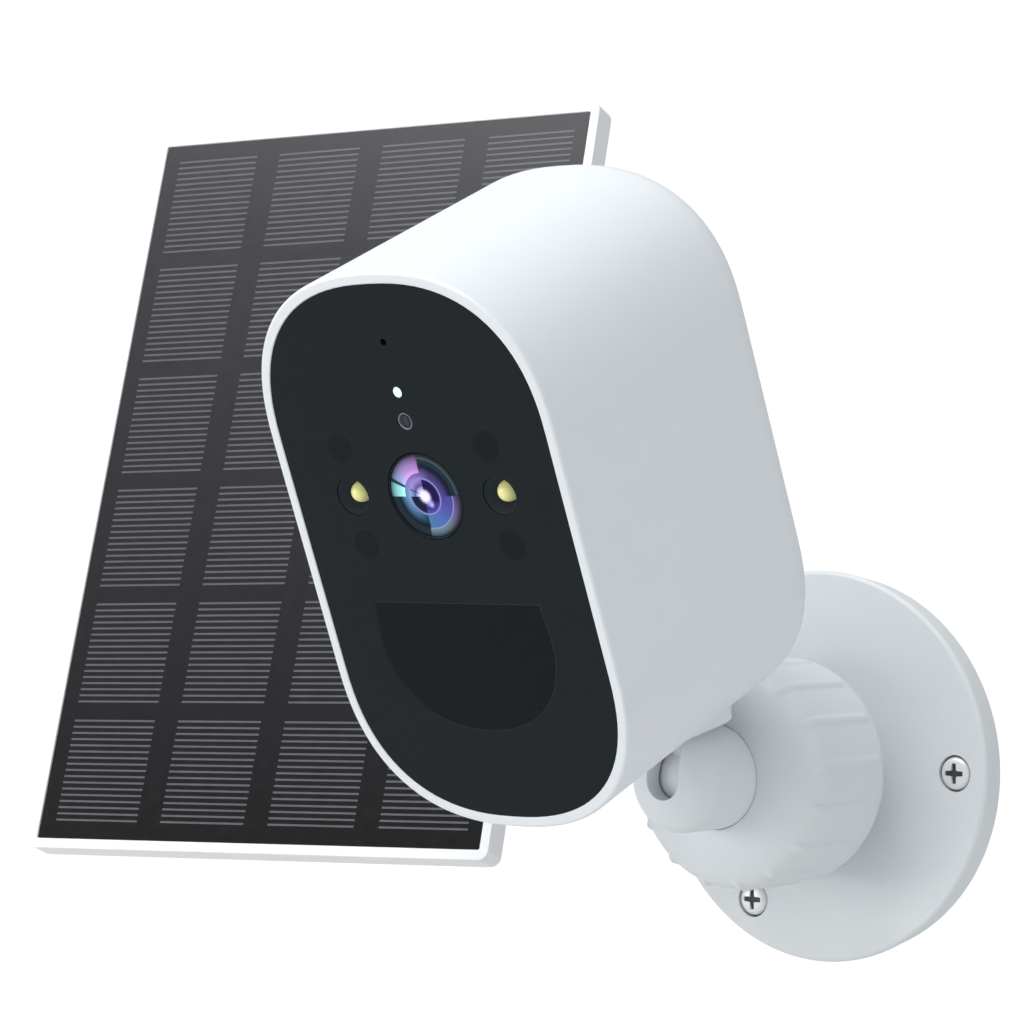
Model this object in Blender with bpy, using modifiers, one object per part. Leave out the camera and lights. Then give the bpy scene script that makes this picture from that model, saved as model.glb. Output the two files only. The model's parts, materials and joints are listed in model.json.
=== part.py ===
"""Solar-powered security camera on a ball mount, with its panel on a two-axis bracket.

World frame: origin at the centre of the camera's wall plate, on the wall. +Z is up, +X is to the
right for a person facing the wall, and everything stands out from the wall towards -Y.
Sizes below are in millimetres, and MM turns them into Blender's metres.
"""

import math

import bmesh
import bpy
from mathutils import Matrix, Vector

MM = 0.001
GAP = 0.3                      # clearance left between touching pieces

# ---- driving dimensions -------------------------------------------------------------------------
# Camera body, in its own frame: X right, Y from the front face to the back, Z up.
BODY_HALF_WIDTH = 30.0
BODY_HALF_HEIGHT = 49.0
BODY_DEPTH = 60.0
BODY_END_HEIGHT = 28.5         # height of each rounded end of the outline
BODY_CURVE = 2.42              # exponent of the rounded ends; 2 would be an ellipse
BODY_REAR_RADIUS = 8.0
SHELL_WALL = 1.55
CAMERA_PITCH = math.radians(22.8)
NECK_FROM_FRONT = 48.5         # from the front face back to the neck's axis
LENS_HEIGHT = 10.6             # optical axis above the middle of the front face

# Ball mount, measured out from the wall.
PLATE_RADIUS = 36.3
PLATE_BACK_RADIUS = 35.4       # its side narrows towards the wall
PLATE_THICK = 6.5
PLATE_EDGE_RADIUS = 0.9
POST_RADIUS = 13.6
POST_BORE = 10.4
POST_LENGTH = 20.0
COLLAR_RADIUS = 20.5
COLLAR_BACK = 8.9             # from the plate's front face to the collar's back edge
COLLAR_SHOULDER = 26.7
COLLAR_FRONT = 33.2
COLLAR_OPENING = 9.6
COLLAR_RIBS = 16
DRUM_RADIUS = COLLAR_OPENING - GAP - 0.05
DRUM_SHOULDER = 43.0           # where the drum's domed front begins
DRUM_FRONT = 48.7
BALL_FROM_PLATE = 38.7
BALL_RADIUS = 6.6
NECK_RADIUS = 2.9
NECK_LENGTH = 14.66            # from the ball's centre to the body's underside
SLOT_HALF_WIDTH = 3.4

# Solar panel and its bracket.
PANEL_HALF_WIDTH = 48.7        # of the dark laminate
PANEL_HALF_HEIGHT = 72.8
PANEL_BORDER = 2.0
PANEL_THICK = 5.2
PANEL_YAW = math.radians(10.0)
PANEL_LEAN = math.radians(19.6)
PANEL_ROLL = math.radians(-1.3)
BRACKET_X = -93.2
BRACKET_Z = 49.6
BRACKET_PLATE_RADIUS = 27.0
YAW_AXIS_FROM_WALL = 17.0
SWIVEL_ARM = 20.0              # from the yaw axis to the tilt axis
TILT_AXIS_FROM_GLASS = 14.0

LUG_RADIUS = 5.0
LUG_THICK = 2.8
BARREL_HALF_LENGTH = 6.1
EAR_RADIUS = 6.0
EAR_START = 7.0                # from the bracket's middle up to the upper ear
EAR_THICK = 3.0
PIN_RADIUS = 2.0
PIN_HOLE = 2.3

# Small features of the mount.
SCREW_CIRCLE = 29.7            # radius of the circle through the camera plate's screws
SCREW_SEAT_DEPTH = 2.2
CROSS_LENGTH = 3.3
CROSS_WIDTH = 0.8
CROSS_DEPTH = 1.1
COLLAR_CONE_BACK = 24.8
COLLAR_CONE_FRONT = 31.0
COLLAR_FIRST_RIB = 0.33        # as a share of the ribs' spacing
RIB_FROM_BACK = 1.8
RIB_PAST_SHOULDER = 1.4
RIB_WIDTH = 1.1
RIB_DEPTH = 1.6
RIB_HEIGHT = 0.4               # that a rib stands out from the collar
FLANGE_RADIUS = 13.3
SLOT_BACK = 1.5
STUD_RADIUS = 3.0
STUD_ROOT_RADIUS = 1.3         # where the stud is moulded into the neck
NUT_LOW = 10.91                # from the ball's centre
NUT_RADIUS = 11.0
NUT_TURN = math.radians(4)
INSERT_RADIUS = 5.1

# Places on the front face, from its middle.
PANEL_INSET = 1.83             # the white rim's width
STATUS_HEIGHT = 28.6
LIGHT_SENSOR_HEIGHT = 23.6
MICROPHONE_HEIGHT = 37.2
LAMP_X = 15.6
CUP_RADIUS = 3.35
LED_RADIUS = 1.9
STATUS_RADIUS = 1.04
IR_X = 15.5
IR_HIGH = 19.2
IR_LOW = 2.1
PIR_TOP = -8.3
PIR_TOP_HALF_WIDTH = 18.1
PIR_HALF_WIDTH = 19.4
PIR_WIDEST = -14.5
PIR_BOTTOM = -32.3
PIR_CURVE = 2.2
PIR_SENSOR_HEIGHT = -19.0
LED_BOARD_TOP = 40.0
LED_BOARD_BOTTOM = -3.0

# Inside and behind.
BOARD_SCREW_X = 18.0
BOARD_SCREW_Z = 30.0
CELL_RADIUS = 9.1
CELL_HALF_LENGTH = 32.6
CELL_X = 9.6
CELL_DEPTH = 37.4
SPEAKER_DEPTH = 15.6
BUTTON_HEIGHT = 18.0
BUTTON_RADIUS = 4.0
PORT_HEIGHT = -18.0
PORT_X = -4.0
RESET_X = 5.5
FLAP_X = -0.5
FLAP_HALF_WIDTH = 11.0
FLAP_HALF_HEIGHT = 4.6

ROUND = 24                     # sides of a middle-sized round piece
SMALL_ROUND = 12
UPRIGHT = (0.0, 0.0, 0.0)
FACING_FRONT = (math.pi / 2, 0.0, 0.0)      # turns local +Z to -Y
FACING_RIGHT = (0.0, math.pi / 2, 0.0)      # turns local +Z to +X

for leftover in list(bpy.data.objects):
    bpy.data.objects.remove(leftover)

parts = bpy.data.collections.new("solar_security_camera")
cutters = bpy.data.collections.new("cutters")
bpy.context.scene.collection.children.link(parts)
bpy.context.scene.collection.children.link(cutters)


# ---- materials ----------------------------------------------------------------------------------
def material(name, colour, roughness, metallic=0.0):
    made = bpy.data.materials.new(name)
    made.use_nodes = True
    shader = made.node_tree.nodes["Principled BSDF"]
    shader.inputs["Base Color"].default_value = (*colour, 1.0)
    shader.inputs["Roughness"].default_value = roughness
    shader.inputs["Metallic"].default_value = metallic
    return made


WHITE_SHELL = material("white_shell", (0.80, 0.83, 0.85), 0.40)
WHITE_MOUNT = material("white_mount", (0.70, 0.73, 0.75), 0.45)
BLACK_GLOSS = material("black_gloss", (0.018, 0.023, 0.026), 0.12)
BLACK_MATTE = material("black_matte", (0.02, 0.02, 0.02), 0.6)
BLACK_RUBBER = material("black_rubber", (0.03, 0.03, 0.03), 0.8)
LENS_GLASS = material("lens_glass", (0.10, 0.10, 0.25), 0.03)
LED_YELLOW = material("led_yellow", (0.75, 0.70, 0.30), 0.3)
LED_CLEAR = material("led_clear", (0.70, 0.95, 1.0), 0.2)
BOARD_GREEN = material("board_green", (0.02, 0.16, 0.06), 0.4)
STEEL = material("steel", (0.60, 0.61, 0.62), 0.25, 1.0)
BRASS = material("brass", (0.70, 0.52, 0.20), 0.3, 1.0)
CELL_WRAP = material("cell_wrap", (0.05, 0.18, 0.42), 0.35)
SOLAR_DARK = material("solar_dark", (0.045, 0.043, 0.052), 0.15)
GREY_PLASTIC = material("grey_plastic", (0.35, 0.36, 0.37), 0.5)
WHITE_RUBBER = material("white_rubber", (0.68, 0.70, 0.72), 0.7)


# ---- tools for making shapes --------------------------------------------------------------------
def frame(name, parent=None, location=(0.0, 0.0, 0.0), rotation=(0.0, 0.0, 0.0)):
    """An empty that carries the pieces of one moving group."""
    empty = bpy.data.objects.new(name, None)
    parts.objects.link(empty)
    empty.parent = parent
    empty.location = Vector(location) * MM
    empty.rotation_euler = rotation
    return empty


def place(obj, finish, parent, location, rotation=(0.0, 0.0, 0.0)):
    """Puts a finished piece under its group's empty; a piece with no finish is a cutter."""
    if finish:
        parts.objects.link(obj)
        obj.data.materials.append(finish)
    else:
        cutters.objects.link(obj)
        obj.hide_render = True
        obj.display_type = "WIRE"
    obj.parent = parent
    obj.location = Vector(location) * MM
    obj.rotation_euler = rotation
    return obj


def turned(name, profile, finish, parent, location=(0, 0, 0), rotation=FACING_FRONT, sides=ROUND):
    """A turned piece. The profile is (radius, height) pairs, down its outer side from the top.

    A profile that starts and ends on the axis is solid, and any other is closed into a ring.
    """
    mesh = bpy.data.meshes.new(name)
    points = [(radius * MM, 0.0, height * MM) for radius, height in profile]
    edges = [(i, i + 1) for i in range(len(points) - 1)]
    if profile[0][0] > 0:
        edges.append((len(points) - 1, 0))
    mesh.from_pydata(points, edges, [])
    obj = bpy.data.objects.new(name, mesh)
    place(obj, finish, parent, location, rotation)
    screw = obj.modifiers.new("turn", "SCREW")
    screw.steps = sides
    screw.render_steps = sides
    screw.use_merge_vertices = True
    screw.merge_threshold = 0.00001
    screw.use_smooth_shade = True
    return obj


def rod(name, radius, low, high, finish, parent, location=(0, 0, 0), rotation=FACING_FRONT, sides=ROUND):
    profile = [(0, high), (radius, high), (radius, low), (0, low)]
    return turned(name, profile, finish, parent, location, rotation, sides)


def from_bmesh(name, work, finish, parent, location, rotation):
    bmesh.ops.recalc_face_normals(work, faces=work.faces[:])
    mesh = bpy.data.meshes.new(name)
    work.to_mesh(mesh)
    work.free()
    return place(bpy.data.objects.new(name, mesh), finish, parent, location, rotation)


def box(name, low, high, finish, parent, location=(0, 0, 0), rotation=(0, 0, 0), bevel=0.0):
    """A block between two corners, with its edges bevelled."""
    low, high = Vector(low) * MM, Vector(high) * MM
    work = bmesh.new()
    bmesh.ops.create_cube(work, size=1.0)
    bmesh.ops.scale(work, vec=high - low, verts=work.verts[:])
    bmesh.ops.translate(work, vec=(low + high) / 2, verts=work.verts[:])
    if bevel:
        bmesh.ops.bevel(work, geom=work.edges[:], offset=bevel * MM, segments=1, affect="EDGES")
    return from_bmesh(name, work, finish, parent, location, rotation)


def circle(radius, centre=(0.0, 0.0), sides=SMALL_ROUND):
    turns = [2 * math.pi * i / sides for i in range(sides)]
    return [(centre[0] + radius * math.cos(a), centre[1] + radius * math.sin(a)) for a in turns]


def plate(name, outlines, front, back, finish, parent, location=(0, 0, 0), rotation=FACING_FRONT):
    """A flat piece between two depths: the first outline is its edge and the others are holes."""
    curve = bpy.data.curves.new(name, "CURVE")
    curve.dimensions = "2D"
    curve.fill_mode = "BOTH"
    curve.extrude = (back - front) / 2 * MM
    for outline in outlines:
        spline = curve.splines.new("POLY")
        spline.points.add(len(outline) - 1)
        for point, (across, up) in zip(spline.points, outline):
            point.co = (across * MM, up * MM, 0.0, 1.0)
        spline.use_cyclic_u = True
    guide = bpy.data.objects.new(name + "_outline", curve)
    cutters.objects.link(guide)
    bpy.context.view_layer.update()
    graph = bpy.context.evaluated_depsgraph_get()
    mesh = bpy.data.meshes.new_from_object(guide.evaluated_get(graph))
    bpy.data.objects.remove(guide)
    work = bmesh.new()
    work.from_mesh(mesh)
    bmesh.ops.remove_doubles(work, verts=work.verts[:], dist=0.00001)
    bmesh.ops.translate(work, vec=(0, 0, -(front + back) / 2 * MM), verts=work.verts[:])
    bpy.data.meshes.remove(mesh)
    return from_bmesh(name, work, finish, parent, location, rotation)


def combine(target, other, operation):
    step = target.modifiers.new(other.name, "BOOLEAN")
    step.operation = operation
    step.solver = "EXACT"
    step.object = other


def cut(target, *tools):
    for tool in tools:
        combine(target, tool, "DIFFERENCE")


def join(target, *additions):
    for addition in additions:
        combine(target, addition, "UNION")


def body_outline(inset, steps=12):
    """The camera's outline, this far inside its outer edge: straight sides and two rounded ends."""
    half_width = BODY_HALF_WIDTH - inset
    end = BODY_END_HEIGHT - inset
    straight = BODY_HALF_HEIGHT - BODY_END_HEIGHT
    points = []
    for sign in (1, -1):
        for i in range(steps + 1):
            turn = math.pi * i / steps
            across = math.copysign(abs(math.cos(turn)) ** (2 / BODY_CURVE), math.cos(turn))
            up = math.sin(turn) ** (2 / BODY_CURVE) if 0 < i < steps else 0.0
            points.append((sign * half_width * across, sign * (straight + end * up)))
    return points


def rounded_box(half_width, half_height, radius, steps=3, centre=(0.0, 0.0)):
    points = []
    for corner, (right, top) in enumerate(((1, 1), (-1, 1), (-1, -1), (1, -1))):
        middle_x = centre[0] + right * (half_width - radius)
        middle_z = centre[1] + top * (half_height - radius)
        for i in range(steps + 1):
            turn = math.pi / 2 * (corner + i / steps)
            points.append((middle_x + radius * math.cos(turn), middle_z + radius * math.sin(turn)))
    return points


def ear_outline(radius, reach, steps=10):
    """An ear with a round end about (0, 0) and straight sides to this height, up or down."""
    side = math.copysign(1.0, reach)
    turns = [math.pi * i / steps for i in range(steps + 1)]
    points = [(radius * math.cos(a), -side * radius * math.sin(a)) for a in turns]
    return points + [(-radius, reach), (radius, reach)]


def arc(centre_r, centre_h, radius_r, radius_h, start, end, steps):
    """Points (radius, height) along part of an ellipse, for a turned profile. Angles in degrees."""
    turns = [math.radians(start + (end - start) * i / steps) for i in range(steps + 1)]
    return [(centre_r + radius_r * math.cos(a), centre_h + radius_h * math.sin(a)) for a in turns]


def cross_recess(name, head_top, parent, location):
    """The cross driven into a screw's head, as a cutter."""
    arm, half = CROSS_LENGTH / 2, CROSS_WIDTH / 2
    tip = 0.8 * half
    quarter = [(arm, -tip), (arm, tip), (half, half)]
    outline = []
    for turn in range(4):
        outline += quarter
        quarter = [(-up, across) for across, up in quarter]
    return plate(name, [outline], -head_top - 1.0, CROSS_DEPTH - head_top, None, parent, location)


# ---- groups -------------------------------------------------------------------------------------
root = frame("wall_group")
collar_axis = frame("collar_axis", root)
ball_centre = (0, -(PLATE_THICK + BALL_FROM_PLATE), 0)
swivel_axis = frame("swivel_axis", root, ball_centre)
tilt_axis = frame("neck_tilt_axis", swivel_axis, rotation=(CAMERA_PITCH, 0, 0))
camera = frame("camera_spin_axis", tilt_axis)
yaw_axis = frame("panel_yaw_axis", root, (BRACKET_X, -YAW_AXIS_FROM_WALL, BRACKET_Z), (0, 0, PANEL_YAW))
panel_tilt = frame("panel_tilt_axis", yaw_axis, (0, -SWIVEL_ARM, 0), (-PANEL_LEAN, 0, 0))
panel = frame("panel_face", panel_tilt, (0, -TILT_AXIS_FROM_GLASS, 0), (0, PANEL_ROLL, 0))


def at_front(x=0.0, depth=0.0, z=0.0):
    """A place in the camera measured from the middle of its front face."""
    return Vector((x, depth - NECK_FROM_FRONT, z + NECK_LENGTH + BODY_HALF_HEIGHT))


# ---- ball mount ---------------------------------------------------------------------------------
def make_wall_plate():
    front = PLATE_THICK
    post_end = front + POST_LENGTH
    edge = PLATE_EDGE_RADIUS
    profile = [(0, front + 1.0), (POST_BORE, front + 1.0), (POST_BORE, post_end)]
    profile += [(POST_RADIUS - 0.8, post_end), (POST_RADIUS, post_end - 0.8), (POST_RADIUS, front)]
    profile += arc(PLATE_RADIUS - edge, front - edge, edge, edge, 90, 0, 4)
    profile += [(PLATE_BACK_RADIUS, 0), (0, 0)]
    plate_piece = turned("wall_plate", profile, WHITE_MOUNT, root, sides=40)
    for index in range(3):
        turn = 2 * math.pi * index / 3
        spot = (SCREW_CIRCLE * math.cos(turn), 0, SCREW_CIRCLE * math.sin(turn))
        cut(plate_piece, screw_hole(f"plate_hole_{index + 1}", spot, front))
        make_wall_screw(f"wall_screw_{index + 1}", spot, front)


def screw_hole(name, spot, plate_front):
    """A hole for a wall screw, with a seat for its head."""
    seat = plate_front - SCREW_SEAT_DEPTH
    profile = [(0, plate_front + 1), (3.35, plate_front + 1), (3.35, seat), (2.2, seat), (2.2, -1), (0, -1)]
    return turned(name, profile, None, root, spot, sides=SMALL_ROUND)


def make_wall_screw(name, spot, plate_front):
    """A pan-head screw. Its shank ends inside the plate, flush with the wall."""
    top = plate_front + 0.4
    under_head = plate_front - SCREW_SEAT_DEPTH + GAP
    profile = [(0, top), (2.0, top), (2.75, top - 0.3), (3.05, top - 0.9), (3.05, under_head)]
    profile += [(1.9, under_head), (1.9, 0.2), (0, 0.2)]
    screw = turned(name, profile, STEEL, root, spot, sides=SMALL_ROUND)
    cut(screw, cross_recess(name + "_cross", top, root, spot))


def make_collar():
    """The ribbed ring that screws onto the post and clamps the drum."""
    base = PLATE_THICK
    inner = POST_RADIUS + GAP
    dome_width = COLLAR_RADIUS - COLLAR_OPENING
    dome_height = COLLAR_FRONT - COLLAR_SHOULDER
    profile = arc(COLLAR_OPENING, base + COLLAR_SHOULDER, dome_width, dome_height, 90, 0, 6)
    profile += [(COLLAR_RADIUS, base + COLLAR_BACK), (inner, base + COLLAR_BACK)]
    profile += [(inner, base + COLLAR_CONE_BACK), (COLLAR_OPENING, base + COLLAR_CONE_FRONT)]
    collar = turned("lock_collar", profile, WHITE_MOUNT, collar_axis, sides=3 * COLLAR_RIBS)
    ribs = bmesh.new()
    rib_back = COLLAR_BACK + RIB_FROM_BACK
    rib_front = COLLAR_SHOULDER + RIB_PAST_SHOULDER
    rib_radius = COLLAR_RADIUS + RIB_HEIGHT - RIB_DEPTH / 2
    rib_size = Vector((RIB_DEPTH, RIB_WIDTH, rib_front - rib_back)) * MM
    rib_spot = Vector((rib_radius, 0, base + (rib_front + rib_back) / 2)) * MM
    for index in range(COLLAR_RIBS):
        turn = 2 * math.pi * (index + COLLAR_FIRST_RIB) / COLLAR_RIBS
        made = bmesh.ops.create_cube(ribs, size=1.0)["verts"]
        bmesh.ops.scale(ribs, vec=rib_size, verts=made)
        bmesh.ops.translate(ribs, vec=rib_spot, verts=made)
        bmesh.ops.rotate(ribs, cent=(0, 0, 0), matrix=Matrix.Rotation(turn, 3, "Z"), verts=made)
    join(collar, from_bmesh("collar_ribs", ribs, None, collar_axis, (0, 0, 0), FACING_FRONT))


def make_swivel_socket():
    """The drum that holds the ball: bored from the back, with a slot for the neck to swing in."""
    bore = BALL_RADIUS + GAP
    front = DRUM_FRONT - BALL_FROM_PLATE
    back = POST_LENGTH + 0.4 - BALL_FROM_PLATE
    shoulder = DRUM_SHOULDER - BALL_FROM_PLATE
    cone_front = COLLAR_CONE_FRONT - 0.2 - BALL_FROM_PLATE
    cone_back = COLLAR_CONE_BACK + 0.25 - BALL_FROM_PLATE
    profile = arc(0, shoulder, DRUM_RADIUS, front - shoulder, 90, 0, 8)
    profile[0] = (0, front)
    profile += [(DRUM_RADIUS, cone_front), (FLANGE_RADIUS, cone_back), (FLANGE_RADIUS, back), (bore, back)]
    profile += arc(0, 0, bore, bore, 0, 90, 7)
    socket = turned("swivel_socket", profile, WHITE_MOUNT, swivel_axis, sides=28)
    reach = DRUM_RADIUS + 4.0
    low_end = rod("slot_round", SLOT_HALF_WIDTH, 3.5, reach, None, swivel_axis, sides=20)
    low = (-SLOT_HALF_WIDTH, -reach, 0)
    high = (SLOT_HALF_WIDTH, SLOT_BACK, reach)
    cut(socket, low_end, box("slot_side", low, high, None, swivel_axis))


def make_pressure_pad():
    """The friction pad behind the ball, hollowed to fit it and standing in the post."""
    stem = BALL_RADIUS - 0.1
    cup = BALL_RADIUS + GAP
    lip = stem - 0.8
    rim = -math.sqrt(cup ** 2 - lip ** 2)
    foot = 5.0 - BALL_FROM_PLATE
    bottom = 1.4 - BALL_FROM_PLATE
    base = POST_BORE - GAP
    profile = arc(0, 0, cup, cup, -90, math.degrees(math.atan2(rim, lip)), 4)
    profile[0] = (0, -cup)
    profile += [(stem, rim), (stem, foot), (base, foot), (base, bottom), (0, bottom)]
    turned("pressure_pad", profile, BLACK_RUBBER, root, ball_centre)


def make_ball_and_neck():
    top = NUT_LOW - GAP - 0.05
    meets = math.degrees(math.acos(NECK_RADIUS / BALL_RADIUS))
    profile = [(0, top), (NECK_RADIUS, top)]
    profile += arc(0, 0, BALL_RADIUS, BALL_RADIUS, meets, -90, 7)
    neck = turned("ball_neck", profile, WHITE_MOUNT, tilt_axis, rotation=UPRIGHT, sides=20)
    bore = STUD_ROOT_RADIUS + GAP
    cut(neck, rod("neck_hole", bore, 4.0, top + 1, None, tilt_axis, rotation=UPRIGHT, sides=SMALL_ROUND))
    tip = NECK_LENGTH + 7.0
    shoulder = top + GAP
    stud = [(0, tip), (STUD_RADIUS - 0.5, tip), (STUD_RADIUS, tip - 0.5), (STUD_RADIUS, shoulder)]
    stud += [(STUD_ROOT_RADIUS, shoulder), (STUD_ROOT_RADIUS, 4.3), (0, 4.3)]
    turned("mount_stud", stud, STEEL, tilt_axis, rotation=UPRIGHT, sides=20)
    low = NUT_LOW
    high = NECK_LENGTH - 0.35
    outside = [(0, high), (NUT_RADIUS, high), (NUT_RADIUS, low + 0.9), (NUT_RADIUS - 1.2, low), (0, low)]
    nut = turned("lock_nut", outside, WHITE_MOUNT, tilt_axis, rotation=(0, 0, NUT_TURN), sides=6)
    cut(nut, rod("nut_hole", STUD_RADIUS + 0.35, low - 1, high + 1, None, tilt_axis, rotation=UPRIGHT))


# ---- camera body --------------------------------------------------------------------------------
def make_outer_shell():
    """One shell, open at the front, rounded over its rear edge."""
    rings = [(0, body_outline(0.0)), (BODY_DEPTH - BODY_REAR_RADIUS, body_outline(0.0))]
    for i in range(1, 6):
        turn = math.pi / 2 * i / 5
        depth = BODY_DEPTH - BODY_REAR_RADIUS * (1 - math.sin(turn))
        rings.append((depth, body_outline(BODY_REAR_RADIUS * (1 - math.cos(turn)))))
    work = bmesh.new()
    loops = []
    for depth, outline in rings:
        loops.append([work.verts.new((x * MM, depth * MM, z * MM)) for x, z in outline])
    for near, far in zip(loops, loops[1:]):
        for i in range(len(near)):
            j = (i + 1) % len(near)
            work.faces.new((near[i], near[j], far[j], far[i]))
    work.faces.new(loops[-1])
    shell = from_bmesh("outer_shell", work, WHITE_SHELL, camera, at_front(), UPRIGHT)
    wall = shell.modifiers.new("wall", "SOLIDIFY")
    wall.thickness = SHELL_WALL * MM
    wall.offset = -1
    wall.use_even_offset = True
    under = -BODY_HALF_HEIGHT
    spot = at_front(0, NECK_FROM_FRONT, under)
    cut(shell, rod("insert_hole", INSERT_RADIUS + GAP, -6, 6, None, camera, spot, UPRIGHT))
    for index in range(3):
        spot = at_front(0, SPEAKER_DEPTH + 3.6 * (index - 1), under)
        cut(shell, box(f"speaker_slit_{index + 1}", (-6, -0.7, -5), (6, 0.7, 5), None, camera, spot))
    spot = at_front(0, BODY_DEPTH, BUTTON_HEIGHT)
    cut(shell, rod("button_hole", BUTTON_RADIUS + GAP, -4, 4, None, camera, spot))
    spot = at_front(PORT_X, BODY_DEPTH, PORT_HEIGHT)
    cut(shell, box("port_hole", (-5.2, -4, -2.4), (5.2, 4, 2.4), None, camera, spot))
    spot = at_front(RESET_X, BODY_DEPTH, PORT_HEIGHT)
    cut(shell, rod("reset_hole", 1.5, -4, 4, None, camera, spot, sides=SMALL_ROUND))


def pir_outline(grow=0.0):
    """The motion window: flat on top, sides spreading a little, a deep rounded bottom."""
    half = PIR_HALF_WIDTH + grow
    points = [(PIR_TOP_HALF_WIDTH + grow, PIR_TOP + grow), (-PIR_TOP_HALF_WIDTH - grow, PIR_TOP + grow)]
    steps = 14
    for i in range(steps + 1):
        turn = math.pi * (1 - i / steps)
        across = math.copysign(abs(math.cos(turn)) ** (2 / PIR_CURVE), math.cos(turn))
        down = max(math.sin(turn), 0.0) ** (2 / PIR_CURVE)
        points.append((half * across, PIR_WIDEST - (PIR_WIDEST - PIR_BOTTOM + grow) * down))
    return points


def make_front_panel():
    holes = [circle(7.9, (0, LENS_HEIGHT), ROUND)]
    holes.append(circle(STATUS_RADIUS + GAP, (0, STATUS_HEIGHT)))
    holes.append(circle(1.7, (0, LIGHT_SENSOR_HEIGHT)))
    holes.append(circle(0.6, (0, MICROPHONE_HEIGHT), 10))
    for side in (-1, 1):
        holes.append(circle(CUP_RADIUS + GAP, (side * LAMP_X, LENS_HEIGHT), 20))
    holes.append(pir_outline(GAP))
    outlines = [body_outline(PANEL_INSET)] + holes
    plate("front_panel", outlines, 0.15, 2.2, BLACK_GLOSS, camera, at_front())
    seal = [body_outline(2.0), body_outline(3.6)]
    plate("seal_ring", seal, 2.6, 4.0, BLACK_RUBBER, camera, at_front())


def make_lens():
    spot = at_front(0, 0, LENS_HEIGHT)
    ring = [(6.9, -0.4), (7.6, -0.8), (7.6, -2.0), (6.4, -2.0), (6.4, -1.0)]
    turned("lens_ring", ring, BLACK_MATTE, camera, spot)
    glass = [(0, -0.9), (2.4, -1.05), (4.4, -1.4), (6.1, -2.0), (6.1, -2.7), (0, -2.7)]
    turned("lens_glass", glass, LENS_GLASS, camera, spot)
    barrel = [(0, -8.0), (2.2, -8.0), (2.8, -6.2), (4.4, -6.2), (5.0, -4.4), (6.0, -4.4), (6.4, -3.0)]
    barrel += [(7.2, -3.0), (7.2, -15.0), (0, -15.0)]
    turned("lens_barrel", barrel, BLACK_MATTE, camera, spot)
    box("image_sensor", (-7, 15.4, -7), (7, 17.2, 7), BOARD_GREEN, camera, spot, bevel=0.2)


def make_lamps():
    for side, word in ((-1, "left"), (1, "right")):
        spot = at_front(side * LAMP_X, 0, LENS_HEIGHT)
        hole = LED_RADIUS + GAP
        cup = [(CUP_RADIUS - 0.35, -0.3), (CUP_RADIUS, -0.3), (CUP_RADIUS, -4.6), (hole, -4.6), (hole, -4.0)]
        turned(f"lamp_cup_{word}", cup, BLACK_GLOSS, camera, spot, sides=20)
        dome = arc(0, -3.2, LED_RADIUS, 1.6, 90, 0, 3) + [(LED_RADIUS, -5.3), (0, -5.3)]
        dome[0] = (0, -1.6)
        turned(f"white_led_{word}", dome, LED_YELLOW, camera, spot, sides=SMALL_ROUND)
        for height, level in ((IR_HIGH, "upper"), (IR_LOW, "lower")):
            spot = at_front(side * IR_X, 0, height)
            bulb = arc(0, -3.9, 2.5, 1.0, 90, 0, 3) + [(2.5, -5.3), (0, -5.3)]
            turned(f"ir_led_{level}_{word}", bulb, BLACK_GLOSS, camera, spot, sides=SMALL_ROUND)


def make_small_front_pieces():
    spot = at_front(0, 0, STATUS_HEIGHT)
    rod("status_light_pipe", STATUS_RADIUS, -5.3, -0.25, LED_CLEAR, camera, spot, sides=12)
    spot = at_front(0, 0, LIGHT_SENSOR_HEIGHT)
    rod("light_sensor", 1.38, -5.3, -0.3, BLACK_GLOSS, camera, spot, sides=SMALL_ROUND)
    spot = at_front(0, 0, MICROPHONE_HEIGHT)
    box("microphone", (-1.9, 4.1, -1.5), (1.9, 5.3, 1.5), STEEL, camera, spot, bevel=0.15)
    plate("pir_window", [pir_outline()], 0.25, 1.6, BLACK_MATTE, camera, at_front())
    can = [(0, -17.4), (3.6, -17.4), (4.1, -17.9), (4.1, -23.7), (0, -23.7)]
    turned("pir_sensor", can, STEEL, camera, at_front(0, 0, PIR_SENSOR_HEIGHT), sides=20)


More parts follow.
